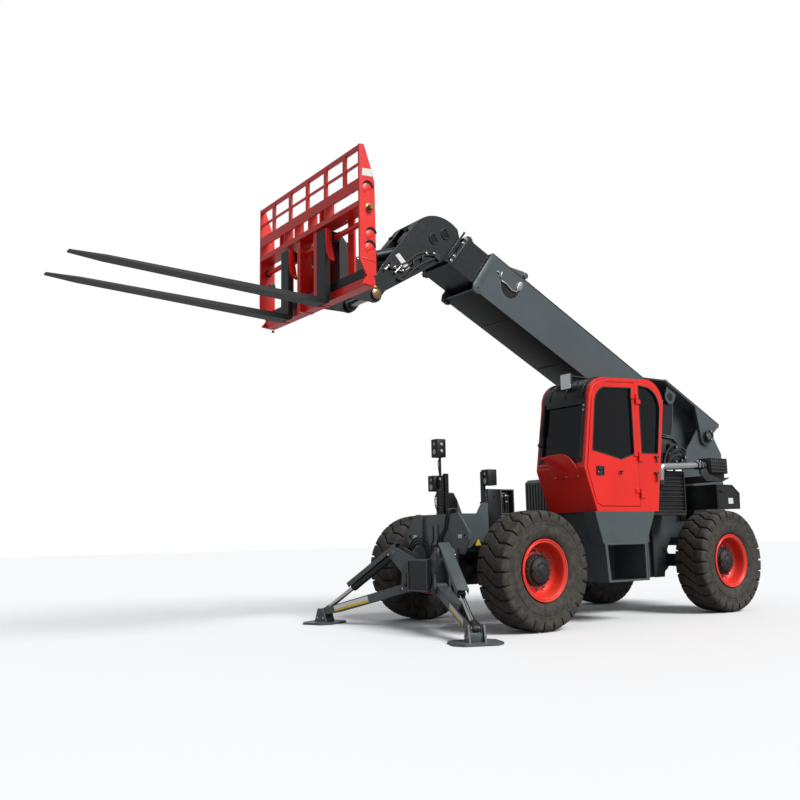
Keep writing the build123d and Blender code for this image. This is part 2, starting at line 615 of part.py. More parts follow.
barrel_end = 760
cylinder_radius = 48
rod_start = 540                 # inner end of the rod, past the full stroke
leg_side = 12                   # side plates of the leg, an open-topped channel past slot_start
slot_start = leg_length - 660
for name, side_sign in SIDES.items():
    hinge_ring = leg_pin(side_sign, 0, leg_hinge[2], 62, -half, half)
    hinge_bore = leg_pin(side_sign, 0, leg_hinge[2], 30 + fit, -half - 20, half + 20)
    outline = [leg_point(20, 45), leg_point(leg_length - 190, 36), leg_point(leg_length + 35, 38),
               leg_point(leg_length + 35, -38), leg_point(leg_length - 190, -62), leg_point(20, -62)]
    beam = leg_plate(side_sign, outline, -half, half)
    channel = leg_plate(side_sign, [leg_point(slot_start, 80), leg_point(leg_length + 60, 80),
                                    leg_point(leg_length + 60, -80), leg_point(leg_length - 190, -50),
                                    leg_point(slot_start, -50)], -half + leg_side, half - leg_side)
    foot_bore = leg_pin(side_sign, leg_run, foot_pin_z, 24 + fit, -half - 20, half + 20)
    nodes[f"outrigger_leg_{name}"] = hinge_ring + beam - channel - hinge_bore - foot_bore

    barrel = bar(leg_place(side_sign, *cyl_point(45)), leg_place(side_sign, *cyl_point(barrel_end)), cylinder_radius)
    eye = leg_pin(side_sign, *top_pin, 46, -48, 48)
    eye_bore = leg_pin(side_sign, *top_pin, 26 + fit, -90, 90)
    rod_bore = bar(leg_place(side_sign, *cyl_point(130)), leg_place(side_sign, *cyl_point(barrel_end + 10)), 28 + fit)
    guard = leg_plate(side_sign, [cyl_point(-90, 70), cyl_point(barrel_end + 30, 70), cyl_point(barrel_end + 30, 78),
                                  cyl_point(-90, 78)], -62, 62)
    stays = leg_plate(side_sign, [cyl_point(150, 40), cyl_point(190, 40), cyl_point(190, 72), cyl_point(150, 72)],
                      -30, 30)
    stays += leg_plate(side_sign, [cyl_point(600, 40), cyl_point(640, 40), cyl_point(640, 72), cyl_point(600, 72)],
                       -30, 30)
    nodes[f"outrigger_barrel_{name}"] = barrel + eye + guard + stays - eye_bore - rod_bore

    rod = bar(leg_place(side_sign, *cyl_point(rod_start)), leg_place(side_sign, *cyl_point(cyl_run - 30)), 28)
    rod_eye = leg_pin(side_sign, leg_run, foot_pin_z, 40, -32, 32) - foot_bore
    nodes[f"outrigger_rod_{name}"] = rod + rod_eye - leg_pin(side_sign, leg_run, foot_pin_z, 30, -80, 80)

    ears_out = [leg_plate(side_sign, [(leg_run - 90, 25), (leg_run - 40, 190), (leg_run + 40, 190),
                                      (leg_run + 90, 25)], a0, a1)
                for a0, a1 in ((half + 8, half + 28), (-half - 28, -half - 8))]
    foot_pin = leg_pin(side_sign, leg_run, foot_pin_z, 24, -half - 36, half + 36)
    length, width, thick = pad_size
    centre = leg_place(side_sign, leg_run, thick / 2)
    px, py = width / 2, length / 2
    pad_outline = [(px, -py + pad_cut), (px, py - pad_cut), (px - pad_cut, py), (pad_cut - px, py), (-px, py - pad_cut),
                   (-px, pad_cut - py), (pad_cut - px, -py), (px - pad_cut, -py)]
    pad = Pos(*centre) * Rot(0, 0, -side_sign * leg_splay) * flat_plate(pad_outline, -thick / 2, thick / 2)
    nodes[f"outrigger_foot_{name}"] = join([pad, foot_pin] + ears_out)

# ---------------------------------------------------------------- cab
cab_front_foot, cab_nose, cab_brow = (688, cab_floor_z), (882, 1862), (748, 2690)
cab_roof_front, cab_roof_rear = (404, 2994), (-300, 3032)
cab_rear_brow, cab_rear_foot = (-658, 2690), (-445, cab_floor_z)
cab_outline = [
    cab_front_foot, cab_nose, cab_brow, ("arc", (668, 2905), cab_roof_front), cab_roof_rear,
    ("arc", (-580, 2935), cab_rear_brow), cab_rear_foot,
]
outer_solid = side_plate(cab_outline, cab_inner_y, cab_outer_y)
inset_face = offset(make_face(wires(cab_outline, lambda x, z: (x, 0, z))), amount=-cab_wall, kind=Kind.INTERSECTION)
inner_solid = Pos(0, cab_inner_y + cab_wall, 0) * extrude(
    inset_face, amount=cab_outer_y - cab_inner_y - 2 * cab_wall, dir=(0, 1, 0))

hinge_x = -109
door_gap = 8
door_outline = [
    (600, 1400), (690, 1440), (826, 1866), (704, 2670), ("arc", (620, 2868), (400, 2938)),
    (hinge_x + 10, 2966), (hinge_x + 10, 1400),
]
door_face = make_face(wires(door_outline, lambda x, z: (x, 0, z)))
door_hole = offset(door_face, amount=door_gap, kind=Kind.INTERSECTION)
door_opening = Pos(0, cab_outer_y - cab_wall - 20, 0) * extrude(door_hole, amount=cab_wall + 60, dir=(0, 1, 0))

pane = 8
pillar = 90
windshield_z = (1940, cab_brow[1])
rear_window_z = (2040, 2700)


def nose_x(z):
    """Front face of the cab above its nose."""
    return cab_nose[0] + (cab_brow[0] - cab_nose[0]) * (z - cab_nose[1]) / (cab_brow[1] - cab_nose[1])


def roof_z(x):
    """Flat of the cab roof behind its front bend."""
    (x0, z0), (x1, z1) = cab_roof_front, cab_roof_rear
    return z0 + (z1 - z0) * (x - x0) / (x1 - x0)


def tail_face_x(z):
    """Rear face of the cab."""
    (x0, z0), (x1, z1) = cab_rear_foot, cab_rear_brow
    return x0 + (x1 - x0) * (z - z0) / (z1 - z0)


def slab(face_x, heights, inset, depth, play=0):
    """A sloping slab behind a face of the cab, between two heights, as an (x, z) outline."""
    low, high = heights[0] + play, heights[1] - play
    return [(face_x(z) + dx, z) for z, dx in ((low, inset), (low, inset + depth), (high, inset + depth), (high, inset))]


front_window = side_plate(slab(nose_x, windshield_z, -90, 130), cab_inner_y + 60, cab_outer_y - pillar)
rear_window = side_plate(slab(tail_face_x, rear_window_z, -40, 130), cab_inner_y + pillar, cab_outer_y - pillar)
quarter = [(hinge_x - 70, 2065), (hinge_x - 70, 2950), (-320, 2940), ("arc", (-520, 2850), (-590, 2650)), (-505, 2065)]
quarter_window = side_plate(quarter, cab_outer_y - cab_wall - 20, cab_outer_y + 20)
right_light = [(-420, 2060), (700, 2060), (660, 2650), (500, 2860), (-350, 2900), (-520, 2700)]
right_window = side_plate(right_light, cab_inner_y - 20, cab_inner_y + cab_wall + 20)
nodes["cab_shell"] = (outer_solid - inner_solid - door_opening - front_window - rear_window - quarter_window
                      - right_window)


def pane_in(outline, y):
    """A pane that fits a window outline, its inner face at y."""
    face = offset(make_face(wires(outline, lambda x, z: (x, 0, z))), amount=-gap, kind=Kind.INTERSECTION)
    return Pos(0, y, 0) * extrude(face, amount=pane, dir=(0, 1, 0))


windshield = side_plate(slab(nose_x, windshield_z, -30, pane, gap), cab_inner_y + 60 + gap, cab_outer_y - pillar - gap)
rear_pane = side_plate(slab(tail_face_x, rear_window_z, 20, pane, gap),
                       cab_inner_y + pillar + gap, cab_outer_y - pillar - gap)
quarter_pane = pane_in(quarter, cab_outer_y - 30)
right_pane = pane_in(right_light, cab_inner_y + 20)
nodes["cab_glass"] = Compound(children=[windshield, rear_pane, quarter_pane, right_pane])

# door hinges: fixed leaves and pins on the shell, moving leaves on the door
hinge_heights = (1560, 2020, 2760)
hinge_y = cab_outer_y + 22
hinge_pins = []
hinge_leaves = []
for z in hinge_heights:
    hinge_pins += [
        box(hinge_x - 90, hinge_x + 6, cab_outer_y, cab_outer_y + 14, z - 60, z - 2),
        Pos(hinge_x, hinge_y, z - 31) * Cylinder(16, 58),
        Pos(hinge_x, hinge_y, z) * Cylinder(8, 116),
    ]
    hinge_leaves += [
        box(hinge_x - 6, hinge_x + 90, cab_outer_y + 4, cab_outer_y + 16, z + 2, z + 56),
        Pos(hinge_x, hinge_y, z + 29) * Cylinder(16, 54),
    ]
nodes["cab_shell"] = join([nodes["cab_shell"]] + hinge_pins)

# door with its window; the window has a raised, shallow V-shaped sill
door_solid = Pos(0, cab_outer_y - cab_wall + 4, 0) * extrude(door_face, amount=cab_wall, dir=(0, 1, 0))
door_window = [
    (hinge_x + 70, 2050), (214, 1973), (735, 2070), (660, 2660), ("arc", (585, 2815), (400, 2878)),
    (hinge_x + 70, 2904),
]
window_face = make_face(wires(door_window, lambda x, z: (x, 0, z)))
window_cut = Pos(0, cab_outer_y - 100, 0) * extrude(window_face, amount=200, dir=(0, 1, 0))
door_bores = [Pos(hinge_x, hinge_y, z + 29) * Cylinder(8 + fit, 60) for z in hinge_heights]
nodes["cab_door"] = join([door_solid - window_cut] + hinge_leaves) - door_bores
nodes["door_glass"] = pane_in(door_window, cab_outer_y - 25)

# seat and controls stand on the cab floor
floor = cab_floor_z + cab_wall
cab_mid = (cab_inner_y + cab_outer_y) / 2
nodes["operator_seat"] = join([
    box(-230, 170, cab_mid - 170, cab_mid + 170, floor, floor + 250),
    box(-260, 220, cab_mid - 240, cab_mid + 240, floor + 250, floor + 370),
    side_plate([(-300, floor + 360), (-200, floor + 360), (-290, floor + 950), (-370, floor + 950)],
               cab_mid - 230, cab_mid + 230),
])
wheel_tilt = 28
at_wheel = Pos(430, cab_mid, floor + 620) * Rot(0, -wheel_tilt, 0)
steering = at_wheel * Torus(180, 15)
spoke = at_wheel * Box(350, 30, 16)
column = bar((620, cab_mid, floor + 330), (432, cab_mid, floor + 618), 35)
nodes["control_console"] = join([
    side_plate([(520, floor), (630, floor), (700, floor + 330), (600, floor + 460), (540, floor + 420)],
               cab_mid - 250, cab_mid + 250),
    column, steering, spoke,
])
mirror_y = (700, 880)
mirror_x, mirror_base, mirror_top = 745, 2862, 3066     # ahead of the roof's front bend
arm_y = (sum(mirror_y) / 2 - 12, sum(mirror_y) / 2 + 12)
nodes["cab_mirror"] = join([
    side_plate([(300, roof_z(300)), (370, roof_z(370)), (400, 3032), (mirror_x, 3032), (mirror_x, 3052), (385, 3052)],
               *arm_y),
    box(mirror_x, mirror_x + 25, *mirror_y, mirror_base, mirror_top)])

# base and steps under the cab
step_front, step_rear = 608, -178
tread_front = 565               # front edge of the step box at the tread
tread_z, well_top = 483, 935
step_inner, step_outer = 620, cab_outer_y + 10
steps = [
    side_plate([(735, cab_floor_z), (-369, cab_floor_z), (step_rear, well_top), (step_front, well_top)], 940,
               cab_outer_y),
    box(step_rear, step_front, frame_half, 960, 1030, cab_floor_z),
    side_plate([(step_front, well_top + 15), (step_front - 50, well_top + 15), (tread_front - 50, tread_z),
                (tread_front, tread_z)], step_inner, step_outer),
    box(step_rear, step_rear + 50, step_inner, step_outer, tread_z, well_top + 15),
    box(step_rear, tread_front, step_inner, step_outer, tread_z, tread_z + 17),
    box(step_rear, step_front, step_inner, step_outer, well_top - 10, well_top + 10),
    box(step_rear, tread_front, step_inner, step_inner + 20, tread_z, well_top + 10),
]
bracket_cuts = [box(x - w - 2, x + w + 2, frame_half, bracket_reach + 2, 948, 1032) for x, w in cab_brackets]
nodes["cab_steps"] = join(steps) - bracket_cuts

# ---------------------------------------------------------------- engine pod, tanks, coolers
pod_outer_y, pod_inner_y = -1190, -frame_half - 60
pod_skin = 15
hood_front = pod_rear + 620     # the tall hood; the pod is low ahead of it
pod_profile = [
    (pod_rear, 1000), (pod_front - 60, 1000), (pod_front, 1100), (pod_front, 1280), (pod_front - 60, 1345),
    (hood_front, 1350), (hood_front, 1820), (hood_front - 60, 1865), (pod_rear + 60, 1890), (pod_rear, 1830),
]
pod_outer = side_plate(pod_profile, pod_outer_y, pod_inner_y)
pod_face = offset(make_face(wires(pod_profile, lambda x, z: (x, 0, z))), amount=-pod_skin, kind=Kind.INTERSECTION)
pod_hollow = Pos(0, pod_outer_y + pod_skin, 0) * extrude(
    pod_face, amount=pod_inner_y - pod_outer_y - 2 * pod_skin, dir=(0, 1, 0))
vent_width, vent_pitch, vents = 60, 120, 4
pod_vents = [
    box(x, x + vent_width, pod_outer_y - 20, pod_outer_y + 40, 1450, 1750)
    for x in [pod_rear + 90 + vent_pitch * i for i in range(vents)]
]
nodes["engine_hood"] = pod_outer - pod_hollow - pod_vents
nodes["engine_block"] = (
    box(pod_rear + 80, pod_front - 460, pod_outer_y + 140, pod_inner_y - 120, 1015, 1290)
    + box(pod_rear + 80, hood_front - 80, pod_outer_y + 140, pod_inner_y - 120, 1290, 1700))
nodes["pod_mounts"] = join([
    box(pod_rear, pod_front - 60, pod_inner_y, -frame_half, 1080, 1180),
    box(pod_rear + 60, pod_front - 120, -1100, -frame_half - 5, 990, 1000)])

tank_rear, tank_front = pod_rear + 260, pod_front - 240
tank_profile = [
    (tank_rear + 80, 480), (tank_front - 80, 480), (tank_front, 560), (tank_front, 890), (tank_rear, 890),
    (tank_rear, 560),
]
nodes["fuel_tank"] = (
    side_plate(tank_profile, -1150, -frame_half - 40)
    + box(tank_rear + 300, tank_front - 340, -frame_half - 40, -frame_half, 560, 700)
    + box(tank_rear + 80, tank_front - 80, -1000, -700, 890, 900))

# cooler box between the cab and the tower, clear of the rear tyre, with a louvred outer face
tyre_clear = 80
cooler_rear = rx + 435
cooler_front = -580
cooler_y0, cooler_y1 = tower_half + 40, tower_half + 410
cooler_base = axle_z + sqrt((tyre_diameter / 2 + tyre_clear) ** 2 - (cooler_rear - rx) ** 2)
cooler_z0, cooler_z1 = cooler_base + 30, cooler_base + 580
louvre_pitch, louvres = 50, 10
nodes["cooler_box"] = (
    box(cooler_rear, cooler_front, cooler_y0, cooler_y1, cooler_z0, cooler_z1)
    - box(cooler_rear + 20, cooler_front - 20, cooler_y1 - 25, cooler_y1 + 30, cooler_z0 + 30, cooler_z1 - 30)
    + join([box(cooler_rear + 15, cooler_front - 15, cooler_y1 - 25, cooler_y1 - 5, z, z + 14)
            for z in [cooler_z0 + 60 + louvre_pitch * i for i in range(louvres)]])
    + box(cooler_rear, cooler_front, tower_half, cooler_y1, cooler_base, cooler_z0))

cleaner_x, cleaner_y, cleaner_z = rx - 105, 1000, 1960
cleaner_radius, cleaner_length = 110, 420
shelf = (cleaner_x - 220, cleaner_x + 230)
nodes["air_cleaner"] = join([
    Pos(cleaner_x, cleaner_y, cleaner_z) * Cylinder(cleaner_radius, cleaner_length, rotation=(0, 90, 0)),
    box(*shelf, cleaner_y - 40, cleaner_y + 40, cleaner_z - 205, cleaner_z - 85),
    box(*shelf, tower_half, cleaner_y + 40, cleaner_z - 220, cleaner_z - 200)])

pipe_radius = 48
pipe_front, pipe_inner = cooler_front - 120, cleaner_y - 140
pipe_corners = [(pipe_front, cleaner_y, cleaner_z), (pipe_front, pipe_inner, cleaner_z)]
nodes["intake_pipe"] = join(
    [bar(pipe_corners[0], (cleaner_x + cleaner_length / 2 + gap, cleaner_y, cleaner_z), pipe_radius),
     bar(*pipe_corners, pipe_radius),
     bar(pipe_corners[1], (pipe_front, pipe_inner, cooler_z1 + gap), pipe_radius)]
    + [Pos(*corner) * Sphere(pipe_radius) for corner in pipe_corners])

tail_rear, tail_base = tail_x + 448, tyre_diameter + 22
tail_profile = [
    (tail_rear + 12, tail_base), (tail_rear + 527, tail_base), (tail_rear + 527, tail_base + 335),
    (tail_rear + 164, tail_base + 335), (tail_rear, tail_base + 221),
]
nodes["tail_box"] = Compound(
    children=[side_plate(tail_profile, tower_half, 1080), side_plate(tail_profile, -1080, -tower_half)])

# ---------------------------------------------------------------- lamp masts on the front frame's top
mast_x, mast_y = fx + 128, 400
lamp_depth, lamp_width = 130, 132
lamp_levels = (1665, 1850)
high_lamp_levels = (2070, 2300)
masts = [
    box(mast_x - 22, mast_x + 22, mast_y - 25, mast_y + 20, frame_top, lamp_levels[1] - 20),
    box(mast_x - lamp_depth, mast_x, mast_y - 30, mast_y + lamp_width - 30, *lamp_levels),
    box(mast_x + 2, mast_x + 62, -mast_y - 45, -mast_y + 20, frame_top, lamp_levels[0]),
    box(mast_x - 55, mast_x + 75, -mast_y - lamp_width - 60, -mast_y - 60, lamp_levels[0] - 25, lamp_levels[1] - 15),
    box(mast_x - 20, mast_x + 35, -mast_y - 65, -mast_y + 5, lamp_levels[0] - 25, lamp_levels[1] - 15),
    box(mast_x - 90, mast_x - 30, -mast_y - 20, -mast_y + 25, frame_top, lamp_levels[1] + 10),
    bar((mast_x + 8, -mast_y - 20, lamp_levels[1] - 30), (mast_x + 8, -mast_y - 20, high_lamp_levels[0] + 20), 16),
    box(mast_x - 55, mast_x + 75, -mast_y - lamp_width + 25, -mast_y + 25, *high_lamp_levels)]
nodes["light_masts"] = join(masts)


# ---------------------------------------------------------------- hydraulic hoses, clipped at both ends
def hose(points, radii):
    """A hose of straight runs joined by arcs, with one radius for each corner."""
    path = FilletPolyline(*points, radius=radii)
    length = sum(edge.length for edge in path.edges())
    tube = sweep(Plane(origin=path @ 0, z_dir=path % 0) * Circle(hose_radius), path=path)
    print("hose", round(length), "mm, volume over section x length",
          round(tube.volume / (length * 3.14159 * hose_radius ** 2), 4))
    return tube


# three from the bracket top over to the right outrigger's rear cheek, two down the frame's front face
hose_pitch = 34
frame_hoses = []
for i in range(3):
    step = hose_pitch * i
    foot = (front_x + 85 + 4 * i, -60 - step, 800)
    rise = 160 - 34 * i
    out = 84 + hose_pitch * (2 - i)
    end = leg_place(-1, out, 885, -ear_gap - 25)
    before = leg_place(-1, out, 885, -ear_gap - 85)
    frame_hoses.append(hose(
        [foot, (foot[0], foot[1], 800 + rise), (foot[0] - 8, foot[1] - 90, 880 + rise),
         (before[0] - 10, (foot[1] + before[1]) / 2 - 50, 895 + rise), before, end],
        [50, 60, 90, 45]))
for i in range(2):
    y = 250 - hose_pitch * i
    frame_hoses.append(hose(
        [(front_x - 90, y, frame_top), (front_x - 90, y, frame_top + 62), (front_x + 16, y - 6, frame_top + 58),
         (front_x + 18, y - 76, 1150), (front_x + 24, y - 170, 1050), (front_x + 24, y - 170, 940)],
        [28, 38, 120, 60]))
nodes["frame_hoses"] = Compound(children=frame_hoses)

# along the left cheek of the gooseneck, from a block at its rear to a block ahead, clear of the coupler
hose_y = head_half + hose_radius + 1
head_blocks = [
    side_plate([(-960, 560), (-885, 600), (-905, 665), (-975, 640)], head_half, head_half + 34),
    side_plate([(-262, 345), (-222, 345), (-222, 425), (-262, 425)], head_half, head_half + 34),
    side_plate([(-372, 252), (-332, 222), (-318, 246), (-360, 280)], head_half, head_half + 34),
]
head_runs = [
    [(-900, 640), (-770, 652), (-620, 590), (-480, 470), (-330, 392), (-255, 405)],
    [(-892, 622), (-760, 610), (-600, 520), (-470, 400), (-340, 350), (-255, 372)],
    [(-900, 590), (-800, 515), (-660, 428), (-520, 400), (-430, 300), (-350, 256)],
]
head_hoses = [
    hose([(x, hose_y, z) for x, z in run], [90, 120, 120, 70]) - join(head_blocks) for run in head_runs]
nodes["head_hoses"] = at_head * Compound(children=head_blocks + head_hoses)

# ---------------------------------------------------------------- place and write
bounds = Compound(children=[Compound(s.solids()) for s in nodes.values()]).bounding_box()
shift = Vector(-(bounds.min.X + bounds.max.X) / 2, -(bounds.min.Y + bounds.max.Y) / 2, -bounds.min.Z)

os.makedirs("parts", exist_ok=True)
for name, shape in nodes.items():
    export_step(Pos(shift) * Compound(shape.solids()), f"parts/{name}.step")
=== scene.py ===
"""A telehandler: its finishes and modelled details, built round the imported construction."""

import json
from math import atan2, cos, hypot, pi, radians, sin

import bmesh
import bpy
from bpy.props import FloatProperty, FloatVectorProperty, IntProperty, PointerProperty
from mathutils import Matrix, Vector


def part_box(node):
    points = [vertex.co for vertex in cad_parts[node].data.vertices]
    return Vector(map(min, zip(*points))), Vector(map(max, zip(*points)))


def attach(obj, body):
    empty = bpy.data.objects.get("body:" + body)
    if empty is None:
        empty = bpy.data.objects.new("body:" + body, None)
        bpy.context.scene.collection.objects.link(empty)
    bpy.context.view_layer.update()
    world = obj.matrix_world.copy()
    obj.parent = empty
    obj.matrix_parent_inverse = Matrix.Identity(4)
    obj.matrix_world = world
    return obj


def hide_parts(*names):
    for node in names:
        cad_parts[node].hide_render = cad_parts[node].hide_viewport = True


bl_info = {
    "name": "Telehandler",
    "version": (1, 0, 0),
    "blender": (4, 5, 0),
    "location": "3D View > Sidebar > Telehandler",
    "description": "Finishes and details for a telehandler with a fork carriage and front outriggers",
    "category": "Object",
}

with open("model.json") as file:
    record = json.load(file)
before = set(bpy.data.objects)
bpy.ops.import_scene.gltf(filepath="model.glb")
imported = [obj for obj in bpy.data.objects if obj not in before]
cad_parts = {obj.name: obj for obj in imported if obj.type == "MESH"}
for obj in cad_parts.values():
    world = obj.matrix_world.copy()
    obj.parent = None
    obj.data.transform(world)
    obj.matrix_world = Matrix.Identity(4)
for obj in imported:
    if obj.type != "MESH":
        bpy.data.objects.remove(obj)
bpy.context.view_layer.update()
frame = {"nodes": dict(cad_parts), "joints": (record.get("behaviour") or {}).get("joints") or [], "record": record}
NODES = frame["nodes"]
JOINTS = {joint["name"]: joint for joint in frame["joints"]}
SLOT_OF = {part["node"]: part["material_slot"] for part in frame["record"]["subparts"]}


# ---------------------------------------------------------------- places taken from the frame
def joint_point(name):
    return Vector(JOINTS[name]["pos_m"])


ENDS = ("front", "rear")
SIDES = {"left": 1, "right": -1}
WHEEL = {(end, side): joint_point(f"{end}_{side}_wheel_spin") for end in ENDS for side in SIDES}
MIDDLE = (WHEEL["front", "left"].x + WHEEL["rear", "left"].x) / 2
MACHINE = Matrix.Translation((MIDDLE, 0, 0))        # from the ground point midway between the axles
PIVOT = joint_point("boom_lift")
BOOM_AXIS = Vector(JOINTS["boom_extend"]["axis"])
BOOM_ANGLE = atan2(BOOM_AXIS.z, BOOM_AXIS.x)
BOOM = Matrix.Translation(PIVOT) @ Matrix.Rotation(-BOOM_ANGLE, 4, "Y")
HEAD = Matrix.Translation(joint_point("fork_levelling"))


# ---------------------------------------------------------------- modelling with operators
AXES = {"X": Vector((1, 0, 0)), "Y": Vector((0, 1, 0)), "Z": Vector((0, 0, 1))}
ACROSS = {"XZ": "Y", "XY": "Z", "YZ": "X"}           # the axis a flat outline faces along


def deselect():
    if bpy.context.object and bpy.context.object.mode != "OBJECT":
        bpy.ops.object.mode_set(mode="OBJECT")
    bpy.ops.object.select_all(action="DESELECT")


def activate(obj):
    deselect()
    obj.select_set(True)
    bpy.context.view_layer.objects.active = obj


def edit(obj, mode="VERT", everything=False):
    """Opens a piece in edit mode with nothing, or everything, selected and returns its editable mesh."""
    activate(obj)
    bpy.ops.object.mode_set(mode="EDIT")
    bpy.ops.mesh.select_mode(type=mode)
    bpy.ops.mesh.select_all(action="SELECT" if everything else "DESELECT")
    mesh = bmesh.from_edit_mesh(obj.data)
    mesh.verts.ensure_lookup_table()
    return mesh


def leave_edit(recalculate=False):
    if recalculate:
        bpy.ops.mesh.select_all(action="SELECT")
        bpy.ops.mesh.normals_make_consistent(inside=False)
    bpy.ops.object.mode_set(mode="OBJECT")


def apply_modifier(obj, kind, **settings):
    activate(obj)
    bpy.ops.object.modifier_add(type=kind)
    modifier = obj.modifiers[-1]
    for key, value in settings.items():
        setattr(modifier, key, value)
    bpy.ops.object.modifier_apply(modifier=modifier.name)
    return obj


def round_edges(obj, width, segments=2, angle=30):
    return apply_modifier(obj, "BEVEL", width=width, segments=segments, limit_method="ANGLE",
                          angle_limit=radians(angle), use_clamp_overlap=True)


def join(parts):
    deselect()
    for part in parts:
        part.select_set(True)
    bpy.context.view_layer.objects.active = parts[0]
    if len(parts) > 1:
        bpy.ops.object.join()
    return bpy.context.object


def copy_of(obj):
    activate(obj)
    bpy.ops.object.duplicate(linked=False)
    return bpy.context.object


def moved(obj, place):
    activate(obj)
    obj.matrix_world = place @ obj.matrix_world
    bpy.ops.object.transform_apply(location=True, rotation=True, scale=True)
    return obj


def facing(sign):
    """The turn that sets a part modelled towards the left (1) on the left or on the right (-1)."""
    return Matrix.Identity(4) if sign > 0 else Matrix.Rotation(pi, 4, "Z")


def outward(sign, near, far):
    """Two distances out from the middle plane on one side, as offsets with the lower first."""
    return sorted((sign * near, sign * far))


def discard(obj):
    activate(obj)
    bpy.ops.object.delete()


def block(low, high, bevel=0.0):
    """A block between two corners, its edges rounded."""
    low, high = Vector(low), Vector(high)
    bpy.ops.mesh.primitive_cube_add(size=1, location=(low + high) / 2, scale=high - low)
    bpy.ops.object.transform_apply(location=True, rotation=True, scale=True)
    return round_edges(bpy.context.object, bevel) if bevel else bpy.context.object


def rod(start, end, radius, sides=24, bevel=0.0):
    """A round bar between two points, its ends rounded."""
    start, end = Vector(start), Vector(end)
    turn = (end - start).to_track_quat("Z", "Y").to_euler()
    bpy.ops.mesh.primitive_cone_add(vertices=sides, radius1=radius, radius2=radius, depth=(end - start).length,
                                    location=(start + end) / 2, rotation=turn)
    bpy.ops.object.transform_apply(location=True, rotation=True, scale=True)
    return round_edges(bpy.context.object, bevel) if bevel else bpy.context.object


def spread(point, plane, offset):
    """A flat point of a named plane, lifted off it along the third axis."""
    a, b = point
    return {"XZ": Vector((a, offset, b)), "XY": Vector((a, b, offset)), "YZ": Vector((offset, a, b))}[plane]


def face_through(points, filled=True):
    """A face, or a closed chain of edges, whose corners are moved one by one to the points."""
    deselect()
    bpy.ops.mesh.primitive_circle_add(vertices=len(points), radius=1, fill_type="NGON" if filled else "NOTHING")
    obj = bpy.context.object
    mesh = edit(obj)
    for vertex, point in zip(mesh.verts, points):
        bpy.ops.mesh.select_all(action="DESELECT")
        vertex.select_set(True)
        bpy.ops.transform.translate(value=Vector(point) - vertex.co)
    leave_edit()
    return obj


def plate(points, plane, low, high, corners=0.0, bevel=0.0):
    """A plate of the outline's shape between two offsets, its corners and edges rounded."""
    obj = face_through([spread(point, plane, low) for point in points])
    if corners:
        edit(obj, "VERT", everything=True)
        bpy.ops.mesh.bevel(offset=corners, segments=4, affect="VERTICES")
        leave_edit()
    edit(obj, "FACE", everything=True)
    bpy.ops.mesh.extrude_region_move(TRANSFORM_OT_translate={"value": AXES[ACROSS[plane]] * (high - low)})
    leave_edit(recalculate=True)
    return round_edges(obj, bevel) if bevel else obj


def loft(sections):
    """A bar carried through like-cornered sections: the end face is drawn out, then its corners moved."""
    obj = face_through(sections[0])
    edit(obj, "FACE", everything=True)
    for last, section in zip(sections, sections[1:]):
        bpy.ops.mesh.extrude_region_move(TRANSFORM_OT_translate={"value": (0, 0, 0)})
        mesh = bmesh.from_edit_mesh(obj.data)
        end = [vertex for vertex in mesh.verts if vertex.select]
        corners = [min(end, key=lambda vertex: (vertex.co - Vector(point)).length) for point in last]
        bpy.ops.mesh.select_mode(type="VERT")
        for vertex, old, new in zip(corners, last, section):
            bpy.ops.mesh.select_all(action="DESELECT")
            vertex.select_set(True)
            bpy.ops.transform.translate(value=Vector(new) - Vector(old))
        for vertex in corners:
            vertex.select_set(True)
        mesh.select_flush(True)
        bpy.ops.mesh.select_mode(type="FACE")
    leave_edit(recalculate=True)
    return obj


def turned(profile, steps=64, closed=True):
    """A profile of (place along Y, radius) turned round the Y axis; an open one starts and ends on it."""
    obj = face_through([(0, across, radius) for across, radius in profile], filled=False)
    if not closed:
        mesh = edit(obj, "EDGE")
        ends = {mesh.verts[0], mesh.verts[len(profile) - 1]}
        for edge in mesh.edges:
            edge.select_set(set(edge.verts) == ends)
        bpy.ops.mesh.delete(type="EDGE")
        leave_edit()
    edit(obj, "VERT", everything=True)
    bpy.ops.mesh.spin(steps=steps, angle=2 * pi, center=(0, 0, 0), axis=AXES["Y"])
    bpy.ops.mesh.select_all(action="SELECT")
    bpy.ops.mesh.remove_doubles(threshold=0.00002)
    leave_edit(recalculate=True)
    return obj


def ring_of(obj, count):
    """Repeats a piece round the Y axis."""
    edit(obj, "VERT", everything=True)
    bpy.ops.mesh.spin(steps=count - 1, dupli=True, angle=2 * pi * (count - 1) / count, center=(0, 0, 0),
                      axis=AXES["Y"])
    leave_edit()
    return obj


def tube(points, radius, rounds=3):
    """A pipe or hose whose middle line is a smooth curve drawn to the points."""
    deselect()
    bpy.ops.curve.primitive_nurbs_path_add()
    obj = bpy.context.object
    curve = obj.data
    curve.splines.clear()
    spline = curve.splines.new("NURBS")
    spline.points.add(len(points) - 1)
    for point, place in zip(spline.points, points):
        point.co = (*place, 1)
    spline.order_u = 3
    spline.use_endpoint_u = True
    spline.resolution_u = 5
    curve.bevel_depth = radius
    curve.bevel_resolution = rounds
    curve.use_fill_caps = True
    activate(obj)
    bpy.ops.object.convert(target="MESH")
    return bpy.context.object


def bolt(place, direction, radius=0.011, height=0.009):
    """A hexagon head on its washer, standing on a face."""
    place, direction = Vector(place), Vector(direction).normalized()
    washer = rod(place, place + direction * 0.003, radius * 1.4, 14)
    head = rod(place + direction * 0.003, place + direction * (0.003 + height), radius, 6)
    return join([washer, head])


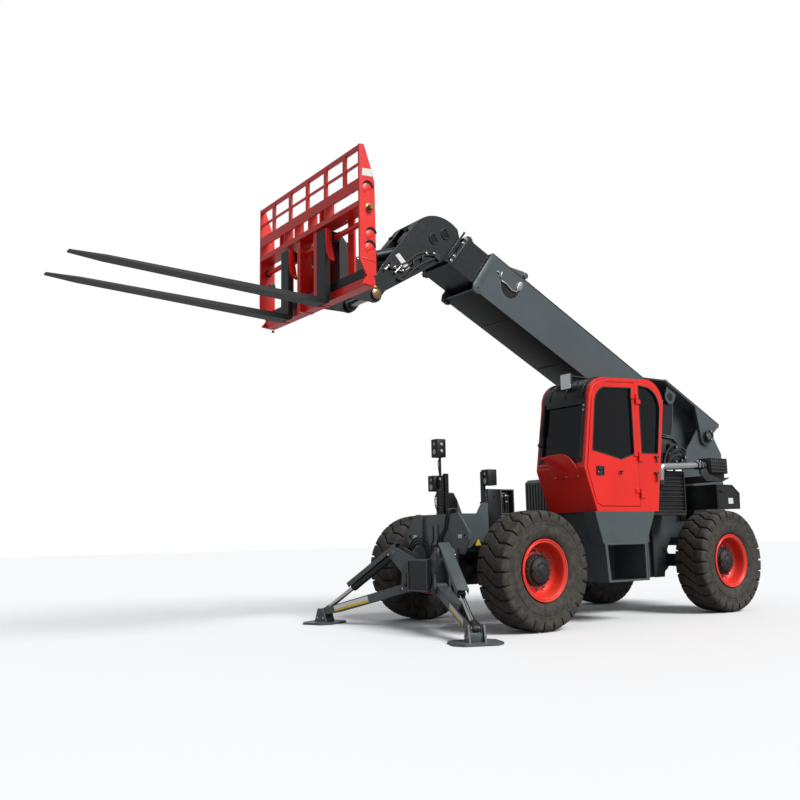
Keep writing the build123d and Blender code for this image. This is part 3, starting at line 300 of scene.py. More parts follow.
def ring_plate(points, plane, low, high, width, corners=0.0):
    """A flat ring inside the outline, such as a window's rubber."""
    obj = face_through([spread(point, plane, low) for point in points])
    if corners:
        edit(obj, "VERT", everything=True)
        bpy.ops.mesh.bevel(offset=corners, segments=4, affect="VERTICES")
        leave_edit()
    edit(obj, "FACE", everything=True)
    bpy.ops.mesh.inset(thickness=width, depth=0)
    bpy.ops.mesh.delete(type="FACE")
    bpy.ops.mesh.select_all(action="SELECT")
    bpy.ops.mesh.extrude_region_move(TRANSFORM_OT_translate={"value": AXES[ACROSS[plane]] * (high - low)})
    leave_edit(recalculate=True)
    return obj


def arc(start, via, end, steps):
    """Points along a round arc, without its start."""
    (ax, az), (bx, bz), (cx, cz) = start, via, end
    twice = 2 * (ax * (bz - cz) + bx * (cz - az) + cx * (az - bz))
    squares = [ax * ax + az * az, bx * bx + bz * bz, cx * cx + cz * cz]
    x = (squares[0] * (bz - cz) + squares[1] * (cz - az) + squares[2] * (az - bz)) / twice
    z = (squares[0] * (cx - bx) + squares[1] * (ax - cx) + squares[2] * (bx - ax)) / twice
    radius = hypot(ax - x, az - z)
    first, middle, last = (atan2(pz - z, px - x) for px, pz in (start, via, end))
    way = (middle - first) % (2 * pi)
    turn = (last - first) % (2 * pi)
    if way > turn:
        turn -= 2 * pi
    return [(x + radius * cos(first + turn * i / steps), z + radius * sin(first + turn * i / steps))
            for i in range(1, steps + 1)]


def strip_along(points, inner, outer):
    """The outline of a strip that follows a line, between two distances to the right of its travel."""
    sides = ([], [])
    for i, point in enumerate(points):
        before, after = points[max(i - 1, 0)], points[min(i + 1, len(points) - 1)]
        along = (Vector(after) - Vector(before)).normalized()
        for side, distance in zip(sides, (inner, outer)):
            side.append((point[0] + along.y * distance, point[1] - along.x * distance))
    return sides[0] + sides[1][::-1]


def bent(points, radius, bends, rounds=3):
    """A straight pipe bent at each inner corner, over the given distances before and after it."""
    points = [Vector(point) for point in points]
    line = [points[0]]
    for before, corner, after, reach in zip(points, points[1:], points[2:], bends):
        line += [corner + (before - corner).normalized() * reach, corner,
                 corner + (after - corner).normalized() * reach]
    return tube(line + [points[-1]], radius, rounds)


def finish(parts, name, slot, body, place=None, material=None, replaces=(), angle=30):
    """Joins a piece's parts, sets it in its place and gives it its finish and the body it rides on."""
    obj = join(parts)
    if place:
        moved(obj, place)
    activate(obj)
    bpy.ops.object.shade_smooth_by_angle(angle=radians(angle))
    obj.name = obj.data.name = name
    obj.data.materials.clear()
    obj.data.materials.append(MATERIALS[material or slot])
    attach(obj, body)
    if replaces:
        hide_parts(*replaces)
    return obj


# ---------------------------------------------------------------- materials
class Mixer:
    """A short way to write a node material: each call adds one node and returns its output."""

    def __init__(self, name):
        self.material = bpy.data.materials.new(name)
        self.material.use_nodes = True
        self.tree = self.material.node_tree
        self.tree.nodes.clear()
        self.output = self.tree.nodes.new("ShaderNodeOutputMaterial")
        self.shader = self.tree.nodes.new("ShaderNodeBsdfPrincipled")
        self.tree.links.new(self.shader.outputs[0], self.output.inputs[0])
        self.coords = self.node("ShaderNodeTexCoord").outputs["Object"]

    def node(self, kind, settings=None, **inputs):
        node = self.tree.nodes.new(kind)
        for key, value in (settings or {}).items():
            setattr(node, key, value)
        for key, value in inputs.items():
            socket = node.inputs[int(key[1:])] if key[0] == "i" and key[1:].isdigit() else node.inputs[key]
            self.feed(socket, value)
        return node

    def feed(self, socket, value):
        if isinstance(value, bpy.types.NodeSocket):
            self.tree.links.new(value, socket)
        else:
            socket.default_value = value

    def noise(self, scale, detail=4, rough=0.55, stretch=None):
        vector = self.coords
        if stretch:
            vector = self.node("ShaderNodeMapping", Vector=vector, Scale=stretch).outputs[0]
        return self.node("ShaderNodeTexNoise", Vector=vector, Scale=scale, Detail=detail, Roughness=rough).outputs[0]

    def ramp(self, value, low, high, from_value=0.0, to_value=1.0):
        node = self.node("ShaderNodeMapRange", None, i0=value, i1=low, i2=high, i3=from_value, i4=to_value)
        return node.outputs[0]

    def maths(self, operation, first, second=0.0):
        node = self.node("ShaderNodeMath", {"operation": operation, "use_clamp": operation != "SUBTRACT"})
        self.feed(node.inputs[0], first)
        self.feed(node.inputs[1], second)
        return node.outputs[0]

    def blend(self, amount, first, second):
        node = self.node("ShaderNodeMix", {"data_type": "RGBA"})
        self.feed(node.inputs[0], amount)
        self.feed(node.inputs[6], first)
        self.feed(node.inputs[7], second)
        return node.outputs[2]

    def height(self):
        return self.node("ShaderNodeSeparateXYZ", None, i0=self.coords).outputs[2]

    def facing_up(self):
        normal = self.node("ShaderNodeNewGeometry").outputs["Normal"]
        return self.node("ShaderNodeSeparateXYZ", None, i0=normal).outputs[2]

    def edges(self, radius):
        """1 on worn edges and 0 on flats, and the normal of the softened edge."""
        soft = self.node("ShaderNodeBevel", {"samples": 4}, Radius=radius).outputs[0]
        normal = self.node("ShaderNodeNewGeometry").outputs["True Normal"]
        dot = self.node("ShaderNodeVectorMath", {"operation": "DOT_PRODUCT"}, i0=soft, i1=normal).outputs["Value"]
        return self.ramp(dot, 0.98, 0.85), soft

    def bump(self, height, strength, distance, normal=None):
        node = self.node("ShaderNodeBump", None, Strength=strength, Distance=distance, Height=height)
        if normal is not None:
            self.feed(node.inputs["Normal"], normal)
        return node.outputs[0]

    def finish(self, **inputs):
        for key, value in inputs.items():
            self.feed(self.shader.inputs[key.replace("_", " ")], value)
        return self.material


def rgb(red, green, blue):
    """A linear colour from the 0-255 steps of a paint chart."""
    def linear(step):
        step = step / 255
        return step / 12.92 if step <= 0.04045 else ((step + 0.055) / 1.055) ** 2.4
    return (linear(red), linear(green), linear(blue), 1.0)


DUST = rgb(128, 116, 98)


def paint(name, colour, rough=0.32, dust=0.35, worn=(0.32, 0.33, 0.33, 1), edge=0.004, coat=0.35, peel=0.05):
    """Sprayed machine paint: slight mottling, orange peel, rubbed edges, dust low down and on ledges."""
    m = Mixer(name)
    mottle = m.noise(1.7, 5)
    darker = tuple(c * 0.88 for c in colour[:3]) + (1,)
    base = m.blend(m.ramp(mottle, 0.35, 0.65), darker, colour)
    wear, soft = m.edges(edge)
    chips = m.maths("MULTIPLY", wear, m.ramp(m.noise(38, 6, 0.7), 0.48, 0.66))
    base = m.blend(m.maths("MULTIPLY", chips, 0.35), base, worn)
    low = m.ramp(m.height(), 1.5, 0.2)
    ledge = m.ramp(m.facing_up(), 0.55, 0.95, 0.0, 0.8)
    settled = m.maths("MULTIPLY", m.maths("MAXIMUM", low, ledge), m.ramp(m.noise(6, 8, 0.65), 0.38, 0.7))
    base = m.blend(m.maths("MULTIPLY", settled, dust), base, DUST)
    skin = m.bump(m.noise(260, 2), peel, 0.001, soft)
    rough_map = m.ramp(m.maths("ADD", settled, m.ramp(m.noise(22, 4), 0.4, 0.8, 0, 0.25)), 0, 1, rough, rough + 0.3)
    return m.finish(Base_Color=base, Roughness=rough_map, Normal=skin, Coat_Weight=coat, Coat_Roughness=0.18)


def rubber(name):
    """Tyre rubber: dark, with dusty brown patches."""
    m = Mixer(name)
    grain = m.noise(14, 8, 0.65)
    dusty = m.blend(m.ramp(grain, 0.38, 0.72), rgb(36, 34, 32), rgb(84, 76, 66))
    fine = m.noise(160, 4)
    base = m.blend(m.ramp(fine, 0.35, 0.8), dusty, rgb(48, 45, 41))
    return m.finish(Base_Color=base, Roughness=0.82, Normal=m.bump(fine, 0.35, 0.002))


def bare_metal(name, colour, rough):
    """Polished or machined metal with fine lines one way."""
    m = Mixer(name)
    lines = m.noise(9, 6, 0.6, stretch=(1, 60, 60))
    tone = m.blend(m.ramp(lines, 0.3, 0.7), tuple(c * 0.7 for c in colour[:3]) + (1,), colour)
    return m.finish(Base_Color=tone, Metallic=1.0, Roughness=m.ramp(lines, 0.3, 0.7, rough * 0.7, rough * 1.4),
                    Normal=m.bump(lines, 0.04, 0.001))


def plastic(name, colour, rough=0.5, grain=240):
    """Plastic or hose rubber: fine grain and a little fading."""
    m = Mixer(name)
    texture = m.noise(grain, 3)
    tone = m.blend(m.ramp(m.noise(7, 6), 0.3, 0.75), colour, tuple(min(1, c * 1.5 + 0.01) for c in colour[:3]) + (1,))
    return m.finish(Base_Color=tone, Roughness=m.ramp(texture, 0.2, 0.8, rough, rough + 0.15),
                    Normal=m.bump(texture, 0.12, 0.001))


def dark_glass(name):
    """Tinted glass with faint smears."""
    m = Mixer(name)
    smear = m.noise(3.5, 6, 0.6)
    tint = m.blend(smear, rgb(8, 11, 13), rgb(16, 20, 22))
    return m.finish(Base_Color=tint, Roughness=m.ramp(smear, 0.4, 0.75, 0.03, 0.12),
                    Transmission_Weight=0.35, IOR=1.45, Specular_IOR_Level=0.3)


def cast(name, colour):
    """A rough casting under thin paint and dust."""
    m = Mixer(name)
    grit = m.noise(90, 5, 0.6)
    dusty = m.blend(m.ramp(m.noise(5, 6), 0.35, 0.7), colour, DUST)
    tone = m.blend(0.92, dusty, colour)
    return m.finish(Base_Color=tone, Roughness=0.62, Normal=m.bump(grit, 0.35, 0.002))


MATERIALS = {}


def make_materials(colours):
    """One material for each slot of the record, and the looks that pieces wear in their place."""
    chosen = {name: (*getattr(colours, name), 1.0) for name in HandlerColours.__annotations__}
    MATERIALS.update({
        "frame_paint": paint("chassis grey paint", chosen["chassis"], dust=0.18, coat=0.3),
        "boom_dark_paint": paint("boom charcoal paint", chosen["boom"], rough=0.34, dust=0.08, coat=0.15,
                                 worn=rgb(84, 90, 94)),
        "red_paint": paint("signal red paint", chosen["cab"], rough=0.34, dust=0.02, coat=0.2, worn=rgb(150, 30, 20),
                           peel=0.012),
        "black_paint": paint("fork black paint", chosen["forks"], rough=0.45, dust=0.08, coat=0.1,
                             worn=rgb(60, 57, 54)),
        "wheel_red": paint("wheel red paint", chosen["wheels"], rough=0.3, dust=0.25, worn=rgb(150, 40, 30)),
        "tyre_rubber": rubber("tyre rubber"),
        "tinted_glass": dark_glass("tinted glass"),
        "chrome_rod": bare_metal("chromed rod", (0.78, 0.79, 0.8, 1), 0.1),
        "machined_steel": bare_metal("machined steel", (0.55, 0.55, 0.56, 1), 0.28),
        "cast_iron": cast("axle castings", rgb(26, 27, 29)),
        "engine_grey": cast("engine block", rgb(70, 72, 74)),
        "black_plastic": plastic("black plastic", rgb(22, 22, 23)),
        "seat_vinyl": plastic("seat vinyl", rgb(30, 30, 31), 0.55, 400),
        "hose_rubber": plastic("hose rubber", rgb(22, 22, 23), 0.55, 300),
        "hub_black": cast("hub casting", rgb(20, 20, 21)),
        "nut_steel": bare_metal("wheel nut steel", (0.36, 0.29, 0.18, 1), 0.35),
        "aluminium_pipe": bare_metal("aluminised pipe", (0.72, 0.72, 0.72, 1), 0.3),
        "gloss_black": plastic("glossy black trim", rgb(10, 10, 11), 0.22, 30),
        # Near-black stand-in for the shade inside holes, bays and gaps: painted shade.
        "painted_shade_black": plastic("shadowed black", rgb(7, 7, 8), 0.9, 60),
        "bright_fitting": bare_metal("bright bolts", (0.74, 0.75, 0.76, 1), 0.25),
        "zinc_plate": bare_metal("zinc plate", (0.60, 0.60, 0.56, 1), 0.35),
        "brass_fitting": bare_metal("passivated fittings", (0.62, 0.60, 0.52, 1), 0.32),
        "bronze": bare_metal("bronze bush", (0.42, 0.27, 0.13, 1), 0.3),
        "mirror_face": bare_metal("mirror glass", (0.85, 0.86, 0.88, 1), 0.04),
        "white_plate": paint("white plate", rgb(222, 222, 216), rough=0.35, dust=0.10, coat=0.2),
        "yellow_plate": paint("yellow plate", rgb(232, 190, 30), rough=0.4, dust=0.10, coat=0.2),
        "lamp_lens": plastic("lamp lens", rgb(150, 156, 158), 0.08, 12),
        "red_lens": plastic("red lamp lens", rgb(120, 12, 10), 0.12, 12),
    })


def coat_node(node):
    obj = NODES[node]
    obj.data.materials.clear()
    obj.data.materials.append(MATERIALS[SLOT_OF[node]])


# ---------------------------------------------------------------- sizes and colours a user would change
class HandlerSizes(bpy.types.PropertyGroup):
    tread_bars: IntProperty(name="Tread bars", description="Bars round each tyre, an even number", default=26,
                            min=12, max=40)
    wheel_nuts: IntProperty(name="Wheel nuts", description="Nuts on each rim", default=12, min=6, max=20)
    hub_bolts: IntProperty(name="Hub bolts", description="Bolts round each hub's flange", default=20, min=8, max=32)
    hoop_radius: FloatProperty(name="Cab hoop", description="Radius of the hoop on the cab's door side",
                               default=0.0265, min=0.015, max=0.04, unit="LENGTH")
    intake_radius: FloatProperty(name="Intake pipe", description="Radius of the pipe from the air cleaner",
                                 default=0.047, min=0.03, max=0.06, unit="LENGTH")


class HandlerColours(bpy.types.PropertyGroup):
    chassis: FloatVectorProperty(name="Chassis", description="Paint of chassis, outer boom, hood and outriggers",
                                 subtype="COLOR", size=3, min=0, max=1, default=rgb(72, 81, 84)[:3])
    boom: FloatVectorProperty(name="Boom", description="Paint of the inner boom stages and head", subtype="COLOR",
                              size=3, min=0, max=1, default=rgb(15, 20, 25)[:3])
    cab: FloatVectorProperty(name="Cab", description="Paint of cab and carriage", subtype="COLOR",
                             size=3, min=0, max=1, default=rgb(226, 30, 18)[:3])
    wheels: FloatVectorProperty(name="Wheels", description="Paint of the rims", subtype="COLOR",
                                size=3, min=0, max=1, default=rgb(230, 44, 28)[:3])
    forks: FloatVectorProperty(name="Forks", description="Paint of forks and small fittings", subtype="COLOR",
                               size=3, min=0, max=1, default=rgb(13, 14, 15)[:3])


# ---------------------------------------------------------------- wheels
TYRE_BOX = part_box("front_left_tyre")
CROWN = (TYRE_BOX[1].z - TYRE_BOX[0].z) / 2          # radius over the tread
SHOULDER = (TYRE_BOX[1].y - TYRE_BOX[0].y) / 2       # half of the tyre's width
RIM_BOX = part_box("front_left_rim")
LIP = (RIM_BOX[1].y - RIM_BOX[0].y) / 2


def tread_bar(run, width, slant, start):
    """One tread bar: a six-cornered section carried across the tread, turning with the slant."""
    foot = 0.56
    sections = []
    for across, share, top in run:
        middle = start + slant * (share - 0.5)
        corners = [(top, -1 / 2), (top, -1 / 6), (top, 1 / 6), (top, 1 / 2), (foot, 0.54), (foot, -0.54)]
        sections.append([(radius * cos(middle + width * part), across, radius * sin(middle + width * part))
                         for radius, part in corners])
    return loft(sections)


def make_tyre(bars):
    """Carcass and a band of S-shaped tread bars about the Y axis."""
    side = [(SHOULDER - 0.050, 0.352), (SHOULDER - 0.040, 0.358), (SHOULDER - 0.024, 0.374),
            (SHOULDER - 0.008, 0.404),
            (SHOULDER - 0.002, 0.440), (SHOULDER, 0.478), (SHOULDER - 0.001, 0.494), (SHOULDER - 0.006, 0.499),
            (SHOULDER - 0.004, 0.506), (SHOULDER - 0.006, 0.545), (SHOULDER - 0.001, 0.553),
            (SHOULDER - 0.002, 0.562),
            (SHOULDER - 0.010, 0.572), (SHOULDER - 0.018, 0.602), (SHOULDER - 0.034, 0.624),
            (SHOULDER - 0.070, 0.634)]
    other = [(-across, radius) for across, radius in reversed(side)]
    carcass = turned(side + [(0, 0.640)] + other, steps=96)
    pitch = 2 * pi / bars
    width, slant = pitch * 0.83, pitch * 0.95
    run = [(SHOULDER, 0, 0.606), (SHOULDER - 0.004, 0, 0.636), (SHOULDER - 0.020, 0, CROWN - 0.016),
           (SHOULDER - 0.060, 0, CROWN - 0.007), (0.085, 0.02, CROWN - 0.003), (0.045, 0.30, CROWN - 0.001),
           (0, 0.5, CROWN)]
    run += [(-across, 1 - share, top) for across, share, top in reversed(run[:-1])]
    cut = 0.092                                      # every second bar is split across here
    whole = tread_bar(run, width, slant, 0)
    outer = tread_bar(run[:4] + [(cut + 0.005, 0.01, CROWN - 0.003)], width, slant, pitch)
    inner = tread_bar([(cut, 0.015, CROWN - 0.003)] + run[4:], width, slant, pitch)
    band = round_edges(join([whole, outer, inner]), 0.004, 2, 25)
    ring_of(band, bars // 2)
    return join([carcass, band])


def make_rim():
    """Rolled outer flange, lock ring, deep barrel and dished disc; the outboard side is +Y."""
    flange = [(LIP - 0.020, 0.334), (LIP - 0.018, 0.344), (LIP - 0.010, 0.3498), (LIP - 0.002, 0.349), (LIP, 0.343),
              (LIP - 0.001, 0.336), (LIP - 0.007, 0.331), (LIP - 0.012, 0.326), (LIP - 0.007, 0.321),
              (LIP - 0.007, 0.312), (LIP - 0.013, 0.305), (LIP - 0.024, 0.300), (LIP - 0.034, 0.297)]
    dish = [(0.140, 0.295), (0.085, 0.291), (0.066, 0.286), (0.052, 0.277), (0.034, 0.262), (0.022, 0.250),
            (0.020, 0.238), (0.030, 0.222), (0.044, 0.212), (0.046, 0.180), (0.046, 0.120), (0.026, 0.120),
            (0.026, 0.200), (0.006, 0.235), (0.008, 0.262), (0.022, 0.282), (0.010, 0.296), (-0.080, 0.300)]
    inner = [(-across, radius) for across, radius in reversed(flange)]
    back = [(-0.150, 0.318), (-0.090, 0.316), (0.090, 0.306), (0.150, 0.312)]
    return turned(flange + dish + inner + back, steps=96)


def make_hub(flange_bolts):
    """Planetary hub: bolted flange and stepped cover with its plug."""
    cover = turned([(0.040, 0), (0.040, 0.180), (0.046, 0.184), (0.080, 0.182), (0.086, 0.177), (0.087, 0.152),
                    (0.092, 0.146),
                    (0.122, 0.141), (0.130, 0.134), (0.134, 0.120), (0.142, 0.113), (0.147, 0.102), (0.148, 0.056),
                    (0.155, 0.048), (0.158, 0.036), (0.159, 0)], steps=64, closed=False)
    flange_bolt = bolt((0.166, 0.086, 0), (0, 1, 0), 0.010, 0.010)
    cover_bolt = bolt((0.082, 0.148, 0), (0, 1, 0), 0.007, 0.006)
    plug = bolt((0.125, 0.134, 0), (0, 1, 0), 0.012, 0.010)
    return join([cover, ring_of(flange_bolt, flange_bolts), ring_of(cover_bolt, 8), plug])


class HANDLER_OT_wheels(bpy.types.Operator):
    """Tyres, rims, hubs and wheel nuts"""
    bl_idname = "handler.wheels"
    bl_label = "Wheels"

    def execute(self, context):
        sizes = context.scene.handler_sizes
        nut = bolt((0.214, 0.044, 0), (0, 1, 0), 0.013, 0.018)
        models = {
            "tyre": (make_tyre(sizes.tread_bars), "tyre_rubber", "tyre_rubber"),
            "rim": (make_rim(), "wheel_red", "wheel_red"),
            "hub": (make_hub(sizes.hub_bolts), "cast_iron", "hub_black"),
            "wheel_nuts": (ring_of(nut, sizes.wheel_nuts), "machined_steel", "nut_steel"),
        }
        for kind, (model, slot, material) in models.items():
            for (end, side), centre in WHEEL.items():
                place = Matrix.Translation(centre) @ facing(SIDES[side])
                replaced = [f"{end}_{side}_{kind}"] if kind in ("tyre", "rim") else []
                finish([copy_of(model)], f"{end}_{side}_{kind}_model", slot, f"{end}_{side}_wheel", place, material,
                       replaced)
            discard(model)
        return {"FINISHED"}


# ---------------------------------------------------------------- cab
NOSE = Vector((0.882, 0, 1.862))                     # where the cab's upper and lower front faces meet
UPPER_FACE = MACHINE @ Matrix.Translation(NOSE) @ Matrix.Rotation(-atan2(0.134, 0.828), 4, "Y")
LOWER_FACE = MACHINE @ Matrix.Translation(NOSE) @ Matrix.Rotation(atan2(0.194, 0.529), 4, "Y")
CAB_SIDE, DOOR_SIDE = 1.140, 1.144
ROOF_BEND = [(0.750, 2.680)] + arc((0.748, 2.690), (0.668, 2.905), (0.404, 2.994), 10) + [(0.150, 3.004)]
DOOR_LIGHT = ([(-0.039, 2.050), (0.214, 1.973), (0.735, 2.070), (0.660, 2.660)]
              + arc((0.660, 2.660), (0.585, 2.815), (0.400, 2.878), 8) + [(-0.039, 2.904)])
QUARTER_LIGHT = ([(-0.179, 2.065), (-0.179, 2.950), (-0.320, 2.940)]
                 + arc((-0.320, 2.940), (-0.520, 2.850), (-0.590, 2.650), 8) + [(-0.505, 2.065)])


class HANDLER_OT_cab(bpy.types.Operator):
    """Rounded hoops, windshield surround, guard plate, rubbers, latches, wiper and mirror"""
    bl_idname = "handler.cab"
    bl_label = "Cab"

    def execute(self, context):
        hoop = [(0.672, 1.350), (0.857, 1.862), (0.727, 2.688), (0.652, 2.885), (0.404, 2.970), (-0.298, 3.008),
                (-0.566, 2.918), (-0.634, 2.690), (-0.424, 1.350)]
        bends = (0.10, 0.12, 0.10, 0.14, 0.16, 0.14, 0.12)
        left = bent([(x, CAB_SIDE - 0.024, z) for x, z in hoop], context.scene.handler_sizes.hoop_radius, bends)
        right = bent([(x + 0.003, 0.344, z) for x, z in hoop], 0.022, bends)
        ledge = block((-0.004, 0.357, 0.040), (0.022, 0.560, 0.074), 0.006)
        finish([left, right], "cab_hoops", "red_paint", "chassis", MACHINE)
        finish([ledge], "windshield_ledge", "red_paint", "chassis", UPPER_FACE)

        guard = plate([(0.560, -0.130), (0.560, 0.040), (0.538, 0.100), (0.500, 0.140), (0.462, 0.158),
                       (0.462, 0.170),
                       (0.600, 0.186), (0.700, 0.192), (0.800, 0.192), (0.856, 0.187), (0.905, 0.170), (0.951, 0.136),
                       (0.985, 0.088), (1.012, 0.030), (1.040, -0.055), (1.046, -0.130)], "YZ", 0.003, 0.012,
                      bevel=0.003)
        screws = [bolt((0.012, y, -0.106), (1, 0, 0), 0.010, 0.007) for y in (0.623, 0.814, 1.004)]
        finish([guard], "nose_guard", "red_paint", "chassis", LOWER_FACE)
        finish(screws, "nose_guard_bolts", "machined_steel", "chassis", LOWER_FACE, "bright_fitting")

        surround = ring_plate([(0.360, 0.062), (1.094, 0.062), (1.094, 0.850), (0.360, 0.850)], "YZ", -0.003, 0.007,
                              0.052, corners=0.03)
        finish([surround], "windshield_surround", "black_plastic", "chassis", UPPER_FACE, "gloss_black")
        visor = plate(strip_along(ROOF_BEND, 0.001, 0.010), "XZ", 0.360, 1.092, bevel=0.002)
        ribs = [plate(strip_along(ROOF_BEND[1:-1], 0.009, 0.020), "XZ", y, y + 0.018, bevel=0.003)
                for y in (0.470, 0.745, 1.020)]
        finish([visor] + ribs, "roof_visor", "black_plastic", "chassis", MACHINE, "gloss_black")
        studs = [bolt((0.006, 1.072, z), (1, 0, 0), 0.010, 0.010) for z in (0.718, 0.778)]
        finish(studs, "windshield_studs", "machined_steel", "chassis", UPPER_FACE, "bright_fitting")

        arm = bent([(0.030, 0.370, 0.330), (0.034, 0.378, 0.480), (0.040, 0.396, 0.640)], 0.007, (0.05,))
        boss = rod((0.004, 0.370, 0.330), (0.045, 0.370, 0.330), 0.022, 24, 0.004)
        motor = block((0.004, 0.340, 0.300), (0.022, 0.402, 0.360), 0.006)
        holder = block((0.026, 0.389, 0.470), (0.040, 0.403, 0.830), 0.004)
        blade = block((0.006, 0.393, 0.440), (0.026, 0.399, 0.860), 0.002)
        finish([arm, boss, motor, holder, blade], "windshield_wiper", "black_plastic", "chassis", UPPER_FACE)

        for name, light, body, low, high in (
                ("door_rubber", DOOR_LIGHT, "door", 1.121, DOOR_SIDE + 0.003),
                ("quarter_rubber", QUARTER_LIGHT, "chassis", 1.117, CAB_SIDE + 0.003)):
            finish([ring_plate(light, "XZ", low, high, 0.014)], name, "hose_rubber", body, MACHINE)
        right_light = [(-0.420, 2.060), (0.700, 2.060), (0.660, 2.650), (0.500, 2.860), (-0.350, 2.900),
                       (-0.520, 2.700)]
        finish([ring_plate(right_light, "XZ", 0.318, 0.344, 0.014)], "right_window_rubber", "hose_rubber", "chassis",
               MACHINE)
        tail_place = MACHINE @ Matrix.Translation((-0.445, 0, 1.333)) @ Matrix.Rotation(-atan2(0.213, 1.357), 4, "Y")
        rear = ring_plate([(0.414, 0.716), (1.048, 0.716), (1.048, 1.382), (0.414, 1.382)], "YZ", -0.004, 0.030,
                          0.014, corners=0.03)
        finish([rear], "rear_window_rubber", "hose_rubber", "chassis", tail_place)

        bezel = ring_plate([(0.550, 1.771), (0.680, 1.771), (0.674, 1.882), (0.544, 1.882)], "XZ", DOOR_SIDE, 1.156,
                           0.016, corners=0.008)
        cup = plate([(0.556, 1.777), (0.674, 1.777), (0.668, 1.876), (0.550, 1.876)], "XZ", DOOR_SIDE, 1.147)
        paddle = block((0.580, 1.147, 1.835), (0.648, 1.158, 1.862), 0.004)
        tee = [rod((0.251, DOOR_SIDE, 1.826), (0.251, 1.175, 1.826), 0.009, 16),
               block((0.216, 1.168, 1.819), (0.282, 1.182, 1.834), 0.004),
               block((0.244, 1.160, 1.783), (0.258, 1.172, 1.828), 0.003)]
        finish([bezel, cup, paddle] + tee, "door_latch", "black_plastic", "door", MACHINE)
        finish([rod((0.652, 1.147, 1.812), (0.652, 1.153, 1.812), 0.010, 20)], "door_key", "machined_steel", "door",
               MACHINE, "bright_fitting")
        toggles = []
        for x, z, drop in ((-0.455, 2.030, 0.075), (-0.434, 1.822, 0.115)):
            toggles += [block((x - 0.034, CAB_SIDE, z - 0.012), (x + 0.030, CAB_SIDE + 0.026, z + 0.012), 0.004),
                        rod((x, CAB_SIDE + 0.020, z), (x + 0.004, CAB_SIDE + 0.018, z - drop), 0.009, 14, 0.002)]
        finish(toggles, "quarter_window_toggles", "black_plastic", "chassis", MACHINE)

        stalk = bent([(0.330, 0.790, 3.000), (0.372, 0.790, 3.044), (0.690, 0.790, 3.044), (0.752, 0.790, 3.034)],
                     0.011, (0.03, 0.03))
        foot = block((0.296, 0.770, 2.995), (0.372, 0.810, 3.006), 0.003)
        shell = block((0.746, 0.700, 2.862), (0.768, 0.880, 3.066), 0.010)
        finish([stalk, foot, shell], "cab_mirror_housing", "black_plastic", "chassis", MACHINE,
               replaces=["cab_mirror"])
        face = plate([(0.706, 2.870), (0.874, 2.870), (0.874, 3.058), (0.706, 3.058)], "YZ", 0.767, 0.7705,
                     corners=0.012)
        finish([face], "cab_mirror_face", "machined_steel", "chassis", MACHINE, "mirror_face")
        return {"FINISHED"}


# ---------------------------------------------------------------- boom
BOOM_SIDE, BOOM_TOP, BOOM_UNDER, BOOM_FRONT = 0.300, 0.278, -0.337, 4.437
LIFT_PIN = (0.909, 0, 0.150)                         # along, across and above the boom's middle line


